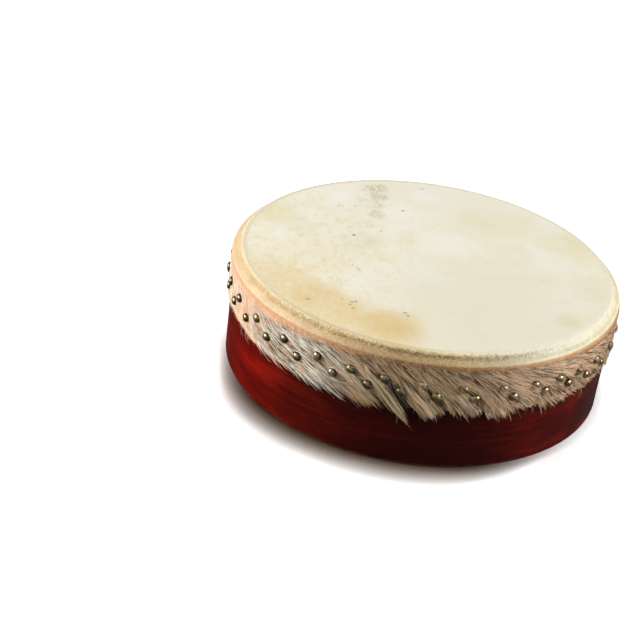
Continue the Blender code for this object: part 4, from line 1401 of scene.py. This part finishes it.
def build_tacks(name, node, places, seed):
    rng = np.random.default_rng(seed)
    rows = len(TACK_PROFILE) - 1
    c, after = ring_columns(TACK_COLUMNS)
    heights = np.clip((TACK_PROFILE[1:, 1] - 0.2) / 3.8, 0, 1)
    height_tone = np.concatenate([np.tile(heights, TACK_COLUMNS), [1.0, 0.0]])
    verts, colors, quads, triangles = [], [], [], []
    base = 0
    for deg, z in places:
        own_tone = np.full_like(height_tone, rng.random())
        verts.append(tack_verts(rng, deg, z))
        colors.append(np.stack([height_tone, own_tone, np.zeros_like(height_tone)], -1))
        quads.append(grid_faces(TACK_COLUMNS, rows, base=base))
        crown = base + TACK_COLUMNS * rows
        first, last = base + c * rows, base + c * rows + rows - 1
        first_after, last_after = base + after * rows, base + after * rows + rows - 1
        triangles.append(np.stack([first_after, first, np.full(TACK_COLUMNS, crown)], -1))
        triangles.append(np.stack([last, last_after, np.full(TACK_COLUMNS, crown + 1)], -1))
        base = crown + 2
    ob = add_mesh(name, np.concatenate(verts) * MM,
                  [np.concatenate(quads), np.concatenate(triangles)], BRASS_MAT,
                  colors=np.concatenate(colors))
    face_outward(ob, sharp=40)
    register(ob, "shell", node)


build_tacks("dome_tacks_upper", "tacks_upper_row", UPPER_TACKS, seed=41)
build_tacks("dome_tacks_lower", "tacks_lower_row", LOWER_TACKS, seed=42)


# ---------------------------------------------------------------- shell and hoop
def build_shell():
    wide_noise = ring_noise(51, 14, 90.0)
    narrow_noise = ring_noise(52, 34, 60.0)

    def wobble(deg, z, radius):
        """Unevenness of the outer face, fading out at both ends."""
        return ((0.10 * wide_noise(deg, z) + 0.05 * narrow_noise(deg, z))
                * smooth(2.0, 12.0, z) * smooth(127.0, 110.0, z) * (radius > 225.0))

    # rounding of the edges: bottom inner and outer, top outer and inner
    foot_in, foot_out, top_out, top_in = 1.3, 1.5, 3.0, 1.0
    profile = ([(SHELL_IR, foot_in)]
               + arc(SHELL_IR + foot_in, foot_in, foot_in, 180, 270, 4)[1:]
               + arc(SHELL_R - foot_out, foot_out, foot_out, 270, 360, 5)
               + between((SHELL_R, foot_out), (SHELL_R, SHELL_H - top_out), 14)
               + arc(SHELL_R - top_out, SHELL_H - top_out, top_out, 0, 90, 5)
               + arc(SHELL_IR + top_in, SHELL_H - top_in, top_in, 90, 180, 3)
               + between((SHELL_IR, SHELL_H - top_in), (SHELL_IR, foot_in), 10))
    rim = lathe("shell_rim", profile, SHELL_MAT, wobble)
    register(rim, "shell", "shell")


def build_hoop():
    # rounding of the edges: both at the bottom, then top outer and inner
    foot, top_out, top_in = 1.0, 3.0, 1.8
    profile = (arc(HOOP_IR + foot, HOOP_Z0 + foot, foot, 180, 270, 3)
               + arc(HOOP_R - foot, HOOP_Z0 + foot, foot, 270, 360, 3)
               + between((HOOP_R, HOOP_Z0 + foot), (HOOP_R, HOOP_Z1 - top_out), 4)
               + arc(HOOP_R - top_out, HOOP_Z1 - top_out, top_out, 0, 90, 6)
               + arc(HOOP_IR + top_in, HOOP_Z1 - top_in, top_in, 90, 180, 4)
               + between((HOOP_IR, HOOP_Z1 - top_in), (HOOP_IR, HOOP_Z0 + foot), 5))
    hoop = lathe("lift_hoop", profile, HOOP_MAT)
    register(hoop, "hoop", "tuning_hoop")


build_shell()
build_hoop()


# ---------------------------------------------------------------- tuners and crossbar
def dress(node, material, bevel_width):
    """A CAD node that stays: new material, and eased edges."""
    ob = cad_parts[node]
    ob.data.materials.clear()
    ob.data.materials.append(material)
    weld = ob.modifiers.new("weld", "WELD")
    weld.merge_threshold = 0.00001
    bevel = ob.modifiers.new("ease", "BEVEL")
    bevel.width = bevel_width * MM
    bevel.segments = 2
    bevel.limit_method = "ANGLE"
    bevel.angle_limit = math.radians(35.0)


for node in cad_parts:
    if node.startswith("tuner_bracket"):
        dress(node, ZINC_MAT, bevel_width=0.45)
    elif node.startswith(("thrust_shoe", "tuner_nut")):
        dress(node, ZINC_MAT, bevel_width=0.30)
    elif node.startswith(("crossbar_screw", "bracket_screw")):
        dress(node, ZINC_MAT, bevel_width=0.15)
    elif node.startswith("tuning_bolt"):
        dress(node, BLACK_MAT, bevel_width=0.2)
    elif node in ("crossbar", "crossbar_cleat_left", "crossbar_cleat_right"):
        dress(node, BAR_MAT, bevel_width=0.8)


# ---------------------------------------------------------------- stage: floor, light, camera
FLOOR_WHITE = 1.7               # above 1, so that the camera sees the floor over-lit


def floor_material():
    """White floor, shaded close to the rim in front, seen only by the camera from above."""
    mat = new_material("pale_floor")
    camera_ray = mat.camera_ray()
    x, y, _ = mat.split(mat.coords())
    radius = mat.radius(x, y)
    facing = (y * -0.94 + x * -0.34) / radius       # 1 in front, a little to the left
    contact = mat.add("ShaderNodeAmbientOcclusion",
                      {"Distance": mat.span(facing, 0.50, 1.0, low=0.014, high=0.066)},
                      out="AO", samples=16)
    shade = mat.ramp(contact, (0.50, (0.020, 0.012, 0.005)), (0.62, (0.11, 0.080, 0.060)),
                     (0.77, (0.35, 0.332, 0.320)), (0.94, (1.0, 1.0, 1.0)))
    faint = mat.span(facing, 0.20, 0.85, low=0.75, high=0.0)
    shade = mat.mix(faint, shade, (1.0, 1.0, 1.0))
    # far from the lights it keeps its white by its own glow
    mat.set(color=mat.times(shade, (FLOOR_WHITE,) * 3), rough=0.85, spec=0.05,
            glow_color=(1.0, 1.0, 1.0), glow=mat.span(radius, 0.9, 2.4))
    # clear from below, so the open back can be looked into
    solid = camera_ray * (1.0 - mat.add("ShaderNodeNewGeometry", out="Backfacing"))
    clear = mat.add("ShaderNodeBsdfTransparent")
    nodes = mat.tree.nodes
    surface = Signal(mat, nodes["Principled BSDF"].outputs[0])
    mat.put(nodes["Material Output"].inputs["Surface"],
            mat.add("ShaderNodeMixShader", {0: solid, 1: clear, 2: surface}))
    return mat.owner


def build_floor():
    bm = bmesh.new()
    bmesh.ops.create_grid(bm, x_segments=2, y_segments=2, size=8.0)
    mesh = bpy.data.meshes.new("floor")
    bm.to_mesh(mesh)
    bm.free()
    floor = bpy.data.objects.new("floor", mesh)
    floor.location.z = -0.0004
    mesh.materials.append(floor_material())
    SCENE.collection.objects.link(floor)


def softbox(name, location, aim, width, height, power, color=(1, 1, 1)):
    light = bpy.data.lights.new(name, "AREA")
    light.shape = "RECTANGLE"
    light.size, light.size_y = width, height
    light.energy = power
    light.color = color
    ob = bpy.data.objects.new(name, light)
    ob.location = location
    ob.rotation_euler = (Vector(aim) - Vector(location)).to_track_quat("-Z", "Y").to_euler()
    SCENE.collection.objects.link(ob)


def build_lights():
    softbox("left_box", location=(-1.80, -0.36, 0.62), aim=(0, 0, 0.08), width=1.0, height=0.8,
            power=47.0, color=(1.0, 0.985, 0.96))
    softbox("right_box", location=(1.80, -0.50, 0.68), aim=(0, 0, 0.08), width=1.0, height=0.8,
            power=36.0)
    softbox("kicker", location=(-0.5, -1.9, 0.45), aim=(0, -0.2, 0.09), width=0.5, height=0.4,
            power=2.4, color=(1.0, 0.97, 0.92))
    softbox("front_box", location=(-0.25, -2.3, 1.7), aim=(0, 0, 0.08), width=1.2, height=0.8,
            power=9.0)
    softbox("top_box", location=(0.0, 1.15, 1.75), aim=(0, 0.05, 0.1), width=1.6, height=1.2,
            power=10.0)
    # lights the inside of the shell from below; the cone is too narrow to reach its edge
    well = bpy.data.lights.new("well_light", "SPOT")
    well.spot_size, well.spot_blend = math.radians(26.8), 0.06
    well.shadow_soft_size, well.energy = 0.006, 34.0
    ob = bpy.data.objects.new("well_light", well)
    ob.location = (0, 0, -0.9)
    ob.rotation_euler = (math.pi, 0, 0)
    SCENE.collection.objects.link(ob)


def build_world():
    """White to the camera, dim to everything else."""
    side_level, up_level, back_level, base_level, floor_level = 0.05, 0.05, 0.05, 0.06, 0.038
    world = bpy.data.worlds.new("studio")
    SCENE.world = world
    sky = Nodes(world)
    x, y, z = sky.split(sky.coords("Generated"))
    camera_ray = sky.camera_ray()
    side = sky.span(sky.math("ABSOLUTE", x, 0.0), 0.35, 0.95)
    up = sky.span(z, 0.1, 0.9)
    behind = sky.span(y, -0.1, 0.7)
    level = (side * side_level + up * up_level) + (behind * back_level + base_level)
    above = sky.span(z, -0.06, 0.02)
    level = level * above + (1.0 - above) * floor_level
    background = sky.tree.nodes["Background"]
    sky.put(background.inputs["Strength"], level * (1.0 - camera_ray) + camera_ray)
    sky.put(background.inputs["Color"], (1, 1, 1))


def build_camera():
    data = bpy.data.cameras.new("camera")
    data.sensor_width = 36.0
    data.lens = 78.75
    data.clip_start, data.clip_end = 0.05, 50.0
    camera = bpy.data.objects.new("camera", data)
    turn = Matrix(((0.99208, -0.12564, 0.0), (0.06172, 0.48735, -0.87102),
                   (0.10943, 0.86412, 0.49124)))
    place = Matrix.Translation((-0.11674533, -1.49218078, 0.87854875))
    camera.matrix_world = place @ turn.to_4x4()
    SCENE.collection.objects.link(camera)
    SCENE.camera = camera


build_floor()
build_lights()
build_world()
build_camera()

SCENE.view_settings.view_transform = "Standard"
SCENE.view_settings.look = "None"
SCENE.view_settings.exposure = 0.0
SCENE.view_settings.gamma = 1.0
